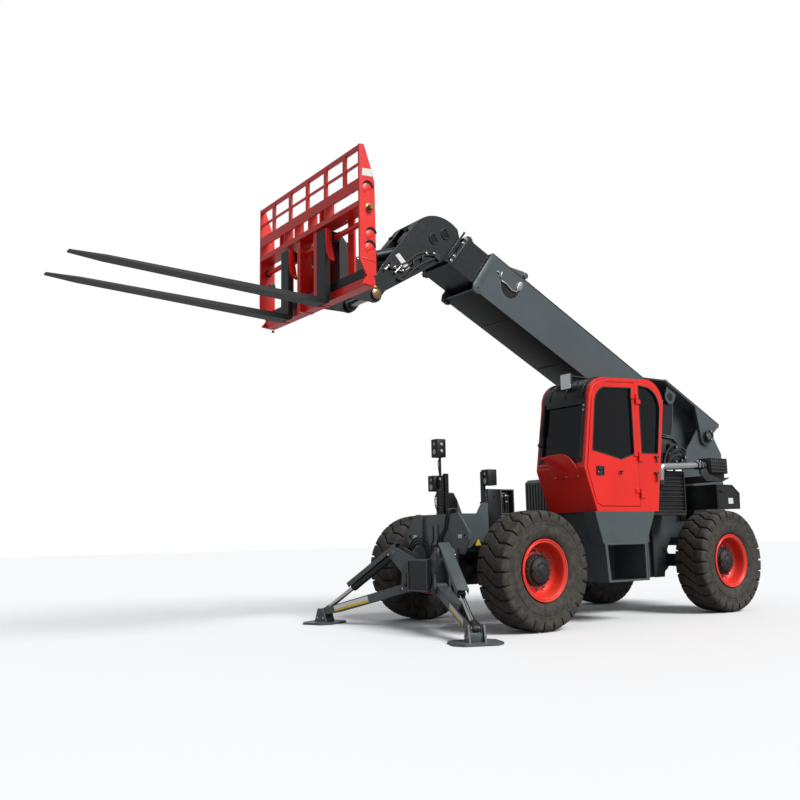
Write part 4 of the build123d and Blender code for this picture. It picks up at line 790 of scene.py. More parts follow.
class HANDLER_OT_boom(bpy.types.Operator):
    """Boom trim: top edging, black belly sheet that is part paint and part painted shade, front bands, side slot with
    painted shade in it, top bracket, pivot caps and stage fittings
    """
    bl_idname = "handler.boom"
    bl_label = "Boom"

    def execute(self, context):
        edging = [block((1.250, y - 0.010, BOOM_TOP - 0.004), (BOOM_FRONT - 0.010, y + 0.010, BOOM_TOP + 0.010),
                        0.003)
                  for y in (-BOOM_SIDE + 0.006, BOOM_SIDE - 0.006)]
        edging += [block((-0.200, y - 0.012, 0.298), (1.125, y + 0.012, 0.312), 0.003) for y in (-0.550, 0.550)]
        edging.append(block((-0.214, -0.556, 0.255), (-0.206, 0.556, 0.312), 0.003))
        cleat = [bolt((s, y, 0.310), (0, 0, 1), 0.012, 0.010) for y in (-0.540, 0.540)
                 for s in (0.10, 0.45, 0.80, 1.08)]
        finish(edging + cleat, "boom_top_edging", "black_paint", "boom_base", BOOM)
        # A black sheet under the boom: the underside's black is part paint and part painted shade.
        underside_shade = block((0.300, -BOOM_SIDE + 0.002, BOOM_UNDER - 0.003),
                      (BOOM_FRONT + 0.050, BOOM_SIDE - 0.002, BOOM_UNDER + 0.004), 0.002)
        seams = [block((s, -0.250, BOOM_UNDER - 0.012), (s + 0.030, 0.250, BOOM_UNDER), 0.003)
                 for s in (1.6, 2.7, 3.8)]
        finish([underside_shade] + seams, "boom_underside_shade", "black_paint", "boom_base", BOOM)

        for side, y in (("left", BOOM_SIDE), ("right", -BOOM_SIDE - 0.003)):
            band = plate([(4.438, BOOM_TOP - 0.004), (4.340, BOOM_TOP - 0.004), (4.432, BOOM_UNDER + 0.004),
                          (4.492, BOOM_UNDER + 0.004), (4.538, BOOM_UNDER + 0.044)], "XZ", y, y + 0.003, bevel=0.001)
            finish([band], f"boom_front_band_{side}", "frame_paint", "boom_base", BOOM)
        shoes = []
        for y in (-BOOM_SIDE - 0.026, BOOM_SIDE):
            shoes.append(plate([(4.395, -0.345), (4.395, -0.300), (4.490, -0.190), (4.530, -0.190), (4.552, -0.290),
                                (4.530, -0.372), (4.440, -0.372)], "XZ", y, y + 0.026, bevel=0.004))
            shoes += [bolt((4.470, y + (0.026 if y > 0 else 0), -0.290), (0, y, 0), 0.013, 0.010)]
        finish(shoes, "boom_front_shoes", "frame_paint", "boom_base", BOOM)

        # A glossy black plate in the crescent slot on the boom's side: painted shade inside the opening.
        smile = [(4.154, 0.012)] + arc((4.154, 0.012), (3.985, -0.108), (3.853, 0.029), 12)
        slot = plate(smile + [(3.862, 0.062), (3.899, 0.022), (3.975, -0.005), (4.081, 0.020)], "XZ",
                     BOOM_SIDE + 0.0005, BOOM_SIDE + 0.004)
        finish([slot], "boom_side_slot_shade", "black_plastic", "boom_base", BOOM, "gloss_black")
        lip = plate(strip_along([(4.160, 0.014), (4.081, 0.024), (3.975, -0.002), (3.899, 0.024), (3.856, 0.100)],
                                -0.002, 0.014),
                    "XZ", BOOM_SIDE + 0.001, BOOM_SIDE + 0.024, bevel=0.002)
        tab = plate([(3.910, 0.060), (3.850, 0.070), (3.828, 0.130), (3.838, 0.196), (3.880, 0.206), (3.905, 0.170)],
                    "XZ", BOOM_SIDE + 0.001, BOOM_SIDE + 0.026, corners=0.015, bevel=0.002)
        catch = [block((4.225, BOOM_SIDE, 0.095), (4.275, BOOM_SIDE + 0.012, 0.112), 0.003),
                 block((4.192, BOOM_SIDE, 0.070), (4.208, BOOM_SIDE + 0.016, 0.140), 0.004),
                 rod((4.200, BOOM_SIDE, 0.068), (4.200, BOOM_SIDE + 0.020, 0.068), 0.010, 16)]
        finish([lip, tab] + catch, "boom_side_catch", "machined_steel", "boom_base", BOOM, "zinc_plate")

        bracket = []
        for y in (-0.256, 0.250):
            bracket.append(plate([(4.150, 0.282), (4.140, 0.304), (3.872, 0.402), (3.792, 0.420), (3.776, 0.282)],
                                 "XZ", y, y + 0.006, bevel=0.002))
        bracket.append(rod((3.805, -0.270, 0.372), (3.805, 0.270, 0.372), 0.042, 28, 0.004))
        bracket += [rod((4.250, 0.235, 0.285), (4.250, 0.235, 0.335), 0.016, 16, 0.003),
                    block((4.220, 0.205, 0.283), (4.280, 0.265, 0.296), 0.003)]
        finish(bracket, "boom_top_bracket", "frame_paint", "boom_base", BOOM)

        for side, sign in SIDES.items():
            cap = turned([(0.600, 0), (0.600, 0.050), (0.606, 0.054), (0.613, 0.054), (0.618, 0.060), (0.618, 0.084),
                          (0.612, 0.090), (0.562, 0.090), (0.562, 0)], 48, closed=False)
            heads = ring_of(bolt((0.072, 0.617, 0), (0, 1, 0), 0.010, 0.008), 3)
            turn = facing(sign)
            place = Matrix.Translation(PIVOT) @ turn
            finish([cap], f"boom_pivot_cap_{side}", "black_paint", "chassis", place)
            finish([heads], f"boom_pivot_bolts_{side}", "machined_steel", "chassis", place, "bright_fitting")
            keeper = turned([(0.529, 0.0), (0.529, 0.058), (0.519, 0.062), (0.519, 0.0)], 36, closed=False)
            finish([keeper], f"lift_pin_keeper_{side}", "black_paint", "boom_base",
                   BOOM @ Matrix.Translation(LIFT_PIN) @ turn)

        collars = []
        for s in (4.800, 4.905):
            for y in (-0.290, 0.282):
                collars.append(plate([(s, 0.268), (s + 0.030, 0.268), (s + 0.142, -0.268), (s + 0.112, -0.268)], "XZ",
                                     y, y + 0.008, bevel=0.002))
        adjusters = [bolt((4.868 + 0.205 * (0.2 - z), y, z), (0, y, 0), 0.015, 0.012)
                     for y in (-0.283, 0.283) for z in (0.200, 0.120, -0.120, -0.200)]
        finish(collars, "stage_collar_ribs", "boom_dark_paint", "boom_middle", BOOM)
        finish(adjusters, "stage_pad_adjusters", "machined_steel", "boom_middle", BOOM, "zinc_plate")
        top_clips = [block((4.700, y - 0.030, 0.262), (4.770, y + 0.030, 0.300), 0.008) for y in (-0.180, 0.180)]
        finish(top_clips, "stage_top_clips", "black_paint", "boom_middle", BOOM)
        return {"FINISHED"}


class HANDLER_OT_gooseneck(bpy.types.Operator):
    """Gooseneck: rimmed access holes with painted shade in them, front cover, plain plate and hydraulic fittings"""
    bl_idname = "handler.gooseneck"
    bl_label = "Gooseneck"

    def execute(self, context):
        cheek = 0.255
        shape = [(-0.050, -0.066), (0.028, -0.066), (0.058, -0.030), (0.062, 0.012), (0.045, 0.050), (0.010, 0.072),
                 (-0.050, 0.072)]
        rims, hole_shades = [], []
        for x, z in ((-0.898, 0.838), (-1.081, 0.932)):
            for sign in (1, -1):
                place = Matrix.Translation((x, 0, z)) @ Matrix.Rotation(radians(28), 4, "Y")
                low, high = outward(sign, cheek, cheek + 0.010)
                rims.append(moved(round_edges(ring_plate(shape, "XZ", low, high, 0.013, corners=0.012), 0.002),
                                  place))
                # A near-black plate in each hole: painted shade inside it.
                low, high = outward(sign, cheek, cheek + 0.002)
                hole_shades.append(moved(plate(shape, "XZ", low, high, corners=0.012), place))
        finish(rims, "gooseneck_hole_rims", "boom_dark_paint", "boom_head", HEAD)
        finish(hole_shades, "gooseneck_hole_shade", "black_plastic", "boom_head", HEAD, "painted_shade_black")
        front = strip_along([(-0.450, 0.738), (-0.466, 0.775), (-0.560, 0.889), (-0.670, 1.022)], 0.001, 0.009)
        cover = [plate(front, "XZ", y, y + 0.110, bevel=0.002) for y in (-0.225, 0.115)]
        rib = [block((-0.575, y, 0.905), (-0.545, y + 0.09, 0.925), 0.004) for y in (-0.215, 0.125)]
        finish(cover + rib, "gooseneck_front_cover", "boom_dark_paint", "boom_head", HEAD)
        blank = plate([(-0.316, 0.532), (-0.373, 0.570), (-0.527, 0.416), (-0.469, 0.369)], "XZ", cheek + 0.0005,
                      cheek + 0.003)
        finish([blank], "gooseneck_plain_plate", "aluminium_pipe", "boom_head", HEAD, "white_plate")

        y = cheek + 0.022
        runs = [[(-0.200, 0.375), (-0.290, 0.372), (-0.350, 0.335), (-0.406, 0.348)],
                [(-0.295, 0.308), (-0.330, 0.352), (-0.381, 0.399)],
                [(-0.150, 0.325), (-0.172, 0.338), (-0.200, 0.372)]]
        pipes = [tube([(x, y, z) for x, z in run], 0.008) for run in runs]
        nuts = [rod((x, y - 0.020, z), (x, y + 0.016, z), 0.015, 6, 0.002) for x, z in
                ((-0.150, 0.325), (-0.200, 0.375), (-0.290, 0.372), (-0.381, 0.399), (-0.406, 0.348),
                 (-0.295, 0.308))]
        nuts += [rod((-0.790, y, 0.612), (-0.752, y, 0.630), 0.017, 6, 0.002),
                 rod((-0.900, y, 0.640), (-0.868, y, 0.645), 0.017, 6, 0.002)]
        finish(pipes + nuts, "gooseneck_fittings", "machined_steel", "boom_head", HEAD, "brass_fitting")
        extra = [tube([(-0.880, y + 0.012, 0.575), (-0.760, y + 0.014, 0.520), (-0.600, y + 0.014, 0.425),
                       (-0.470, y + 0.012, 0.300), (-0.430, y + 0.004, 0.236)], 0.009),
                 tube([(-0.364, y, 0.226), (-0.395, y, 0.250), (-0.423, y, 0.236)], 0.016)]
        finish(extra, "gooseneck_hoses", "hose_rubber", "boom_head", HEAD)
        clamps = [block((x - 0.012, cheek, z - 0.030), (x + 0.012, cheek + 0.040, z + 0.030), 0.004)
                  for x, z in ((-0.700, 0.555), (-0.560, 0.470))]
        finish(clamps, "gooseneck_hose_clamps", "black_plastic", "boom_head", HEAD)
        rings = []
        for sign in (1, -1):
            cap = turned([(0.332, 0), (0.332, 0.030), (0.328, 0.050), (0.322, 0.060), (0.306, 0.064), (0.306, 0)], 36,
                         closed=False)
            rings.append(moved(cap, facing(sign)))
        finish(rings, "head_pin_caps", "machined_steel", "levelling_pin", HEAD, "bronze")
        return {"FINISHED"}


# ---------------------------------------------------------------- fork carriage
class HANDLER_OT_carriage(bpy.types.Operator):
    """Carriage side holes with painted shade in them, bosses, fork positioner, hoses and fork guides"""
    bl_idname = "handler.carriage"
    bl_label = "Fork carriage"

    def execute(self, context):
        side = 1.152
        dee = [(-0.052, -0.050)] + arc((-0.052, -0.050), (0.055, 0.0), (-0.052, 0.066), 10) + [(-0.030, 0.0)]
        dark, lids, blanks, bosses = [], [], [], []
        for sign in (1, -1):
            for x, z, turn in ((0.666, 0.871, -60), (0.632, 0.365, -50), (0.644, 0.224, -60)):
                # A near-black D on the side plate: painted shade inside the through hole; the red lid set over it
                # leaves a dark crescent.
                low, high = outward(sign, side, side + 0.0015)
                place = Matrix.Translation((x, 0, z)) @ Matrix.Rotation(radians(turn), 4, "Y")
                dark.append(moved(plate(dee, "XZ", low, high), place))
                low, high = outward(sign, side, side + 0.003)
                place = Matrix.Translation((x + 0.012, 0, z - 0.026)) @ Matrix.Rotation(radians(turn), 4, "Y")
                lids.append(moved(plate([(a * 0.86, b * 0.86) for a, b in dee], "XZ", low, high, bevel=0.001), place))
            low, high = outward(sign, side, side + 0.002)
            blanks.append(plate([(0.574, 0.985), (0.730, 0.972), (0.722, 1.052), (0.592, 1.068)], "XZ", low, high))
            for x, z, radius, reach in ((0.641, 0.633, 0.034, 0.058), (0.572, -0.222, 0.014, 0.024)):
                cap = turned([(side, 0), (side, radius * 1.35), (side + 0.006, radius * 1.35), (side + 0.008, radius),
                              (side + reach - 0.006, radius), (side + reach, radius - 0.006), (side + reach, 0)], 36,
                             closed=False)
                place = Matrix.Translation((x, 0, z))
                bosses.append(moved(cap, place @ facing(sign)))
            low, high = outward(sign, side, side + 0.004)
            lids.append(plate([(0.566, 0.052), (0.738, 0.070), (0.738, 0.084), (0.566, 0.066)], "XZ", low, high,
                              bevel=0.001))
        finish(dark, "carriage_side_hole_shade", "black_paint", "carriage", HEAD, "painted_shade_black")
        finish(lids, "carriage_side_lips", "red_paint", "carriage", HEAD)
        finish(blanks, "carriage_plain_plates", "aluminium_pipe", "carriage", HEAD, "white_plate")
        finish(bosses, "carriage_bosses", "machined_steel", "carriage", HEAD, "bronze")

        cover = block((0.686, -1.118, -0.116), (0.6935, 1.118, -0.019), 0.002)
        sleeves = []
        for sign in (1, -1):
            sleeves.append(rod((0.600, sign * 1.1185, 0.345), (0.600, sign * 1.132, 0.345), 0.044, 28, 0.003))
            sleeves.append(rod((0.655, sign * 1.1185, 0.500), (0.655, sign * 1.132, 0.500), 0.046, 28, 0.003))
        finish([cover] + sleeves, "fork_positioner", "black_paint", "carriage", HEAD)
        fittings = [rod((0.600, sign * 0.640, 0.380), (0.600, sign * 0.640, 0.408), 0.014, 6, 0.002)
                    for sign in (1, -1)]
        fittings += [rod((0.620, y, z), (0.620, y, z + 0.030), 0.013, 6, 0.002) for y, z in
                     ((-0.060, 0.300), (0.010, 0.180), (0.070, 0.420), (-0.020, 0.060), (0.090, 0.120),
                      (0.050, -0.020))]
        finish(fittings, "positioner_fittings", "machined_steel", "carriage", HEAD, "brass_fitting")
        hoses = [tube([(0.620, -0.060, 0.310), (0.630, -0.055, 0.460), (0.610, 0.020, 0.560), (0.560, 0.060, 0.600),
                       (0.500, 0.070, 0.500)], 0.011),
                 tube([(0.620, 0.010, 0.190), (0.640, 0.030, 0.320), (0.640, 0.100, 0.420), (0.610, 0.120, 0.520),
                       (0.540, 0.100, 0.560)], 0.011),
                 tube([(0.620, 0.070, 0.430), (0.630, 0.060, 0.300), (0.620, -0.030, 0.200), (0.620, -0.020, 0.070)],
                      0.011),
                 tube([(0.620, 0.090, 0.120), (0.630, 0.130, 0.020), (0.620, 0.100, -0.080), (0.600, 0.050, -0.020)],
                      0.011)]
        finish(hoses, "positioner_hoses", "hose_rubber", "carriage", HEAD)

        for side_name, sign in SIDES.items():
            middle = sign * 0.420
            hook = strip_along([(0.797, 0.575), (0.797, 0.400), (0.787, 0.300), (0.760, 0.246), (0.722, 0.222),
                                (0.690, 0.214)],
                               0.0, 0.034)
            guide = plate(hook, "XZ", middle + 0.0905, middle + 0.0985, bevel=0.002)
            web = plate([(0.767, 0.575), (0.767, 0.400), (0.760, 0.320), (0.730, 0.270), (0.685, 0.245),
                         (0.715, 0.420), (0.722, 0.575)],
                        "XZ", middle + 0.0905, middle + 0.0965, bevel=0.001)
            finish([guide, web], f"fork_guide_{side_name}", "red_paint", f"{side_name}_fork", HEAD)
            pad = block((0.720, middle - 0.050, -0.287), (0.800, middle - 0.010, -0.276), 0.003)
            finish([pad], f"fork_heel_block_{side_name}", "red_paint", f"{side_name}_fork", HEAD)
        return {"FINISHED"}


# ---------------------------------------------------------------- front frame, lamps and outriggers
FACE_X = 2.240                                       # front face of the frame
TO_FRONT = Matrix.Rotation(-pi / 2, 4, "Z")          # a part turned about Y, set to face forward


def leg_frame(side):
    """X out along a leg from its hinge, Y across it and Z up."""
    hinge = joint_point(f"{side}_outrigger")
    low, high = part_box(f"outrigger_foot_{side}")
    run = ((low + high) / 2 - hinge).to_2d().normalized()
    across = Vector((-run.y, run.x))
    turn = Matrix(((run.x, across.x, 0), (run.y, across.y, 0), (0, 0, 1))).to_4x4()
    return Matrix.Translation((hinge.x, hinge.y, 0)) @ turn


LEG_RUN, HINGE_Z, FOOT_Z, LEG_HALF = 1.290, 0.480, 0.150, 0.065
LEG_TOP_PIN = (0.196, 0.880)
LEG_SLOPE = (Vector((LEG_RUN, FOOT_Z)) - Vector((0, HINGE_Z))).normalized()
RAM_SLOPE = (Vector((LEG_RUN, FOOT_Z)) - Vector(LEG_TOP_PIN)).normalized()


def up_slope(origin, slope, distance, up):
    """A point a distance along a sloping bar and square to it."""
    return (origin[0] + slope.x * distance - slope.y * up, origin[1] + slope.y * distance + slope.x * up)


def on_ram(distance):
    """A point on the outrigger cylinder's middle line, from its upper pin."""
    x, z = up_slope(LEG_TOP_PIN, RAM_SLOPE, distance, 0)
    return (x, 0, z)


def eye_ring(inner, outer, depth):
    """A flat ring about the Y axis, standing out from the XZ plane."""
    return turned([(0, inner), (depth, inner), (depth, outer - 0.002), (depth - 0.002, outer), (0, outer)], 32)


def lamp_eye(x, y, z, radius, sideways=False):
    """Bezel and lens of a round lamp facing forward, or to the left."""
    place = Matrix.Translation((x, y, z)) @ (Matrix.Identity(4) if sideways else TO_FRONT)
    bezel = turned([(0, radius * 0.82), (0.009, radius * 0.82), (0.010, radius), (0, radius)], 28)
    lens = turned([(0, 0), (0, radius * 0.82), (0.004, radius * 0.8), (0.008, radius * 0.5), (0.010, 0)], 28,
                  closed=False)
    return moved(bezel, place), moved(lens, place)


class HANDLER_OT_front_frame(bpy.types.Operator):
    """Front plate, hose guards, plain tags, cradle panels with their open box, painted shade in the box and the
    cradle holes, lamps and cables
    """
    bl_idname = "handler.front_frame"
    bl_label = "Front frame"

    def execute(self, context):
        plate_front = block((FACE_X, -0.286, 0.982), (FACE_X + 0.005, 0.286, 1.322), 0.002)
        small = [bolt((FACE_X + 0.005, y, z), (1, 0, 0), 0.008, 0.005)
                 for y, z in ((-0.265, 1.00), (-0.22, 1.00), (0.26, 1.30), (-0.26, 1.30))]
        guard_side = [(FACE_X + 0.005, 1.205), (FACE_X + 0.020, 1.205), (FACE_X + 0.020, 1.045),
                      (FACE_X + 0.034, 1.000),
                      (FACE_X + 0.062, 0.966), (FACE_X + 0.056, 0.960), (FACE_X + 0.026, 0.992),
                      (FACE_X + 0.005, 1.040)]
        guards = [plate(guard_side, "XZ", y, y + 0.062, bevel=0.002) for y in (-0.151, -0.052)]
        finish([plate_front] + guards + small, "front_cover_plate", "frame_paint", "chassis", MACHINE)
        rims = [moved(eye_ring(0.024, 0.035, 0.005), MACHINE @ Matrix.Translation((FACE_X + 0.028, y,
                                                                                   1.070)) @ TO_FRONT)
                for y in (-0.541, 0.541)]
        finish(rims, "front_ear_rims", "frame_paint", "chassis")
        tags = [block((FACE_X + 0.028, y - 0.035, 1.043), (FACE_X + 0.030, y + 0.035, 1.087), 0.001)
                for y in (-0.440, 0.443)]
        finish(tags, "front_plain_tags", "aluminium_pipe", "chassis", MACHINE, "white_plate")
        triangle = plate([(1.997, 1.033), (1.951, 0.955), (2.047, 0.955)], "XZ", 0.4503, 0.4518, corners=0.006)
        finish([triangle], "frame_plain_triangle", "frame_paint", "chassis", MACHINE, "yellow_plate")

        # Dark panels laid over both cradles' plates.
        panel = plate([(1.632, 1.100), (1.828, 1.100), (1.828, 1.617), (1.632, 1.617)], "XZ", 0.4505, 0.456,
                      bevel=0.002)
        cheek = [(1.598, 1.345), (1.842, 1.345), (1.803, 1.612), (1.656, 1.612), (1.600, 1.530)]
        cheeks = [plate(cheek, "XZ", *span, bevel=0.001) for span in ((-0.4195, -0.415), (-0.456, -0.4505))]
        finish([panel] + cheeks, "cradle_dark_panels", "boom_dark_paint", "chassis", MACHINE)
        # Near-black discs at the cradle holes: painted shade inside them.
        holes = [moved(eye_ring(0.0, 0.022, 0.002), MACHINE @ Matrix.Translation((1.730, y, 1.530)))
                 for y in (0.4555, -0.4155)]
        finish(holes, "cradle_hole_shade", "black_plastic", "chassis", material="painted_shade_black")
        edge = ring_plate([(1.412, 1.318), (1.630, 1.318), (1.630, 1.619), (1.412, 1.619)], "XZ", 0.4502, 0.460,
                          0.013)
        flange = block((1.410, 0.340, 1.616), (1.832, 0.458, 1.6205), 0.001)
        finish([round_edges(edge, 0.002), flange], "cradle_box_edges", "frame_paint", "chassis", MACHINE)
        # Near-black lining and walls inside the open box: painted shade in it.
        shade_lining = block((1.424, 0.343, 1.331), (1.624, 0.349, 1.607), 0.001)
        walls = [block((1.4225, 0.349, 1.331), (1.4245, 0.448, 1.607), 0.0005),
                 block((1.424, 0.349, 1.330), (1.624, 0.448, 1.334), 0.001)]
        finish([shade_lining] + walls, "cradle_box_shade", "black_plastic", "chassis", MACHINE, "painted_shade_black")
        valves = [rod((1.450, 0.400, 1.540), (1.520, 0.400, 1.545), 0.016, 16, 0.003),
                  rod((1.545, 0.405, 1.535), (1.600, 0.405, 1.550), 0.014, 16, 0.003),
                  rod((1.470, 0.410, 1.470), (1.520, 0.410, 1.470), 0.013, 6, 0.002),
                  block((1.440, 0.352, 1.560), (1.610, 0.385, 1.590), 0.004)]
        finish(valves, "cradle_box_valves", "machined_steel", "chassis", MACHINE, "zinc_plate")
        box_hoses = [tube([(x, 0.395, 1.535), (x + 0.004, 0.400, 1.450), (x - 0.010, 0.392, 1.390),
                           (x, 0.390, 1.334)], 0.011)
                     for x in (1.462, 1.500, 1.552, 1.590)]
        finish(box_hoses, "cradle_box_hoses", "hose_rubber", "chassis", MACHINE)

        bodies, bezels, lenses = [], [], []
        for x, y, z, radius, sideways in ((1.853, 0.436, 1.715, 0.044, False), (1.853, 0.440, 1.800, 0.026, False),
                                          (1.928, -0.526, 1.690, 0.046, False), (1.928, -0.526, 1.785, 0.028, False),
                                          (1.888, -0.395, 1.790, 0.020, True), (1.928, -0.441, 2.140, 0.044, False),
                                          (1.928, -0.441, 2.240, 0.030, False), (1.865, -0.375, 2.150, 0.030, True),
                                          (1.865, -0.375, 2.235, 0.026, True)):
            bezel, lens = lamp_eye(x, y, z, radius, sideways)
            bezels.append(bezel)
            lenses.append(lens)
        for low, high in (((1.723, 0.370, 1.665), (1.853, 0.502, 1.850)),
                          ((1.798, -0.592, 1.640), (1.928, -0.460, 1.835)),
                          ((1.798, -0.507, 2.070), (1.928, -0.375, 2.300))):
            low, high = Vector(low), Vector(high)
            bodies.append(block(low - Vector((0.003, 0.003, 0.003)), high + Vector((0.003, 0.003, 0.003)), 0.008))
            fins = [block((low.x + 0.020 + 0.022 * i, high.y + 0.001, low.z + 0.020),
                          (low.x + 0.028 + 0.022 * i, high.y + 0.007, high.z - 0.020), 0.002)
                    for i in range(3)]
            bodies += fins
        ribs = [block((1.849, -0.451, 1.345 + 0.036 * i), (1.921, -0.374, 1.357 + 0.036 * i), 0.003)
                for i in range(9)]
        bars = [block((1.786 + dx, -0.430, 1.335), (1.796 + dx, -0.424, 1.850), 0.002) for dx in (0, 0.014)]
        arm = [block((1.835, 0.350, 1.448), (1.872, 0.372, 1.470), 0.003)]
        finish(bodies + ribs + bars + arm, "lamp_housings", "black_paint", "chassis", MACHINE)
        finish(bezels, "lamp_bezels", "black_plastic", "chassis", MACHINE, "gloss_black")
        finish(lenses, "lamp_lenses", "machined_steel", "chassis", MACHINE, "lamp_lens")
        cables = [tube([(1.850, -0.460, 1.640), (1.900, -0.480, 1.600), (1.935, -0.455, 1.500),
                        (1.930, -0.430, 1.400), (1.900, -0.400, 1.335)], 0.007),
                  tube([(1.860, -0.420, 2.075), (1.885, -0.435, 2.020), (1.880, -0.430, 1.920),
                        (1.870, -0.425, 1.840)], 0.006),
                  tube([(1.830, 0.400, 1.670), (1.845, 0.380, 1.600), (1.868, 0.372, 1.480), (1.860, 0.380, 1.340)],
                       0.007)]
        finish(cables, "lamp_cables", "hose_rubber", "chassis", MACHINE)
        return {"FINISHED"}


class HANDLER_OT_outriggers(bpy.types.Operator):
    """Bracket panel, pin caps, cylinder guards, plain leg plates and feet"""
    bl_idname = "handler.outriggers"
    bl_label = "Outriggers"

    def execute(self, context):
        rim = ring_plate([(-0.199, 0.434), (0.199, 0.434), (0.199, 0.804), (-0.199, 0.804)], "YZ", 2.5602, 2.574,
                         0.020)
        ledge = block((2.270, -0.206, 0.7995), (2.574, 0.206, 0.806), 0.002)
        finish([round_edges(rim, 0.003), ledge], "bracket_panel_rim", "frame_paint", "chassis", MACHINE)
        face = plate([(-0.178, 0.455), (0.178, 0.455), (0.178, 0.784), (-0.178, 0.784)], "YZ", 2.5603, 2.5625)
        finish([face], "bracket_panel", "boom_dark_paint", "chassis", MACHINE)
        keepers = [rod((2.550, y, 0.500), (2.590, y, 0.500), 0.016, 16, 0.003) for y in (-0.236, 0.236)]
        keepers += [block((2.545, y - 0.012, 0.500), (2.560, y + 0.012, 0.640), 0.003) for y in (-0.236, 0.236)]
        finish(keepers, "bracket_keepers", "black_paint", "chassis", MACHINE)

        for side, sign in SIDES.items():
            leg = leg_frame(side)
            front = -sign                            # the leg's forward face, across it
            caps, bolts = [], []
            for run, z, radius in ((0, HINGE_Z, 0.030), (*LEG_TOP_PIN, 0.026)):
                for face_sign in (1, -1):
                    turn = facing(face_sign)
                    place = Matrix.Translation((run, face_sign * 0.1005, z)) @ turn
                    caps.append(moved(eye_ring(radius, radius + 0.018, 0.008), place))
                    caps.append(moved(turned([(0.009, 0), (0.009, radius - 0.001), (0.013, radius - 0.003),
                                              (0.015, radius - 0.008), (0.015, 0)],
                                             28, closed=False), place))
                    bolts.append(moved(bolt((0.052, 0, -0.020), (0, 1, 0), 0.010, 0.008), place))
            finish(caps, f"bracket_pin_caps_{side}", "frame_paint", "chassis", leg)
            finish(bolts, f"bracket_pin_bolts_{side}", "machined_steel", "chassis", leg, "bright_fitting")

            cover = [up_slope(LEG_TOP_PIN, RAM_SLOPE, d, up)
                     for d, up in ((-0.092, 0.0785), (0.792, 0.0785), (0.792, 0.0830), (-0.092, 0.0830))]
            skin = plate(cover, "XZ", -0.066, 0.066, bevel=0.001)
            flange = [up_slope(LEG_TOP_PIN, RAM_SLOPE, d, up)
                      for d, up in ((-0.050, 0.030), (0.792, 0.018), (0.792, 0.083), (-0.092, 0.083))]
            flanges = [plate(flange, "XZ", y, y + 0.004, bevel=0.001) for y in (-0.0665, 0.0625)]
            finish([skin] + flanges, f"outrigger_guard_{side}", "frame_paint", f"{side}_outrigger_cylinder", leg)
            gland = [rod(*(on_ram(distance) for distance in span), radius, 32, 0.003)
                     for span, radius in (((0.700, 0.766), 0.0505), ((0.762, 0.776), 0.043))]
            finish(gland, f"outrigger_gland_{side}", "black_paint", f"{side}_outrigger_cylinder", leg)
            eye = [rod((LEG_RUN, -0.0318, FOOT_Z), (LEG_RUN, 0.0318, FOOT_Z), 0.0425, 32, 0.002),
                   rod(on_ram(1.215), on_ram(1.300), 0.034, 28, 0.002)]
            finish(eye, f"outrigger_rod_eye_{side}", "black_paint", f"{side}_outrigger_piston", leg)

            hinge = (0, HINGE_Z)
            low, high = outward(front, LEG_HALF, LEG_HALF + 0.0015)
            white = plate([up_slope(hinge, LEG_SLOPE, d, up)
                           for d, up in ((0.600, -0.022), (1.130, -0.022), (1.130, 0.026), (0.600, 0.028))],
                          "XZ", low, high)
            yellow = plate([up_slope(hinge, LEG_SLOPE, d, up)
                            for d, up in ((0.600, -0.050), (1.130, -0.044), (1.130, -0.023), (0.600, -0.023))],
                           "XZ", low, high)
            finish([white], f"leg_plain_plate_{side}", "aluminium_pipe", f"{side}_outrigger_leg", leg, "white_plate")
            finish([yellow], f"leg_yellow_stripe_{side}", "frame_paint", f"{side}_outrigger_leg", leg, "yellow_plate")
            foot = [block((LEG_RUN + 0.030, -0.073, 0.026), (LEG_RUN + 0.042, 0.073, 0.104), 0.003),
                    block((LEG_RUN - 0.062, -0.073, 0.026), (LEG_RUN - 0.052, 0.073, 0.060), 0.003)]
            for face_sign in (1, -1):
                turn = facing(face_sign)
                place = Matrix.Translation((LEG_RUN, face_sign * 0.0932, FOOT_Z)) @ turn
                foot.append(moved(eye_ring(0.025, 0.040, 0.007), place))
            finish(foot, f"outrigger_foot_box_{side}", "frame_paint", f"{side}_outrigger_foot", leg)
            pin_bolts = [bolt((LEG_RUN + dx, y, z), (0, y, 0), 0.009, 0.008) for y in (-0.0932, 0.0932)
                         for dx, z in ((-0.045, 0.075), (0.045, 0.075))]
            finish(pin_bolts, f"outrigger_foot_bolts_{side}", "machined_steel", f"{side}_outrigger_foot", leg,
                   "bright_fitting")
            cut = [(0.208, -0.166), (0.208, 0.166), (0.121, 0.254), (-0.121, 0.254), (-0.208, 0.166),
                   (-0.208, -0.166), (-0.121, -0.254), (0.121, -0.254)]
            tread = plate([(LEG_RUN + a, b) for a, b in cut], "XY", 0.002, 0.013, bevel=0.003)
            finish([tread], f"outrigger_foot_rubber_{side}", "tyre_rubber", f"{side}_outrigger_foot", leg,
                   "hose_rubber")
        return {"FINISHED"}


# ---------------------------------------------------------------- engine side, air cleaner and tail
LIFT_FOOT, LIFT_ACROSS = (-1.300, 0, 0.850), 0.397    # lower pin, and each lift cylinder's place to the side


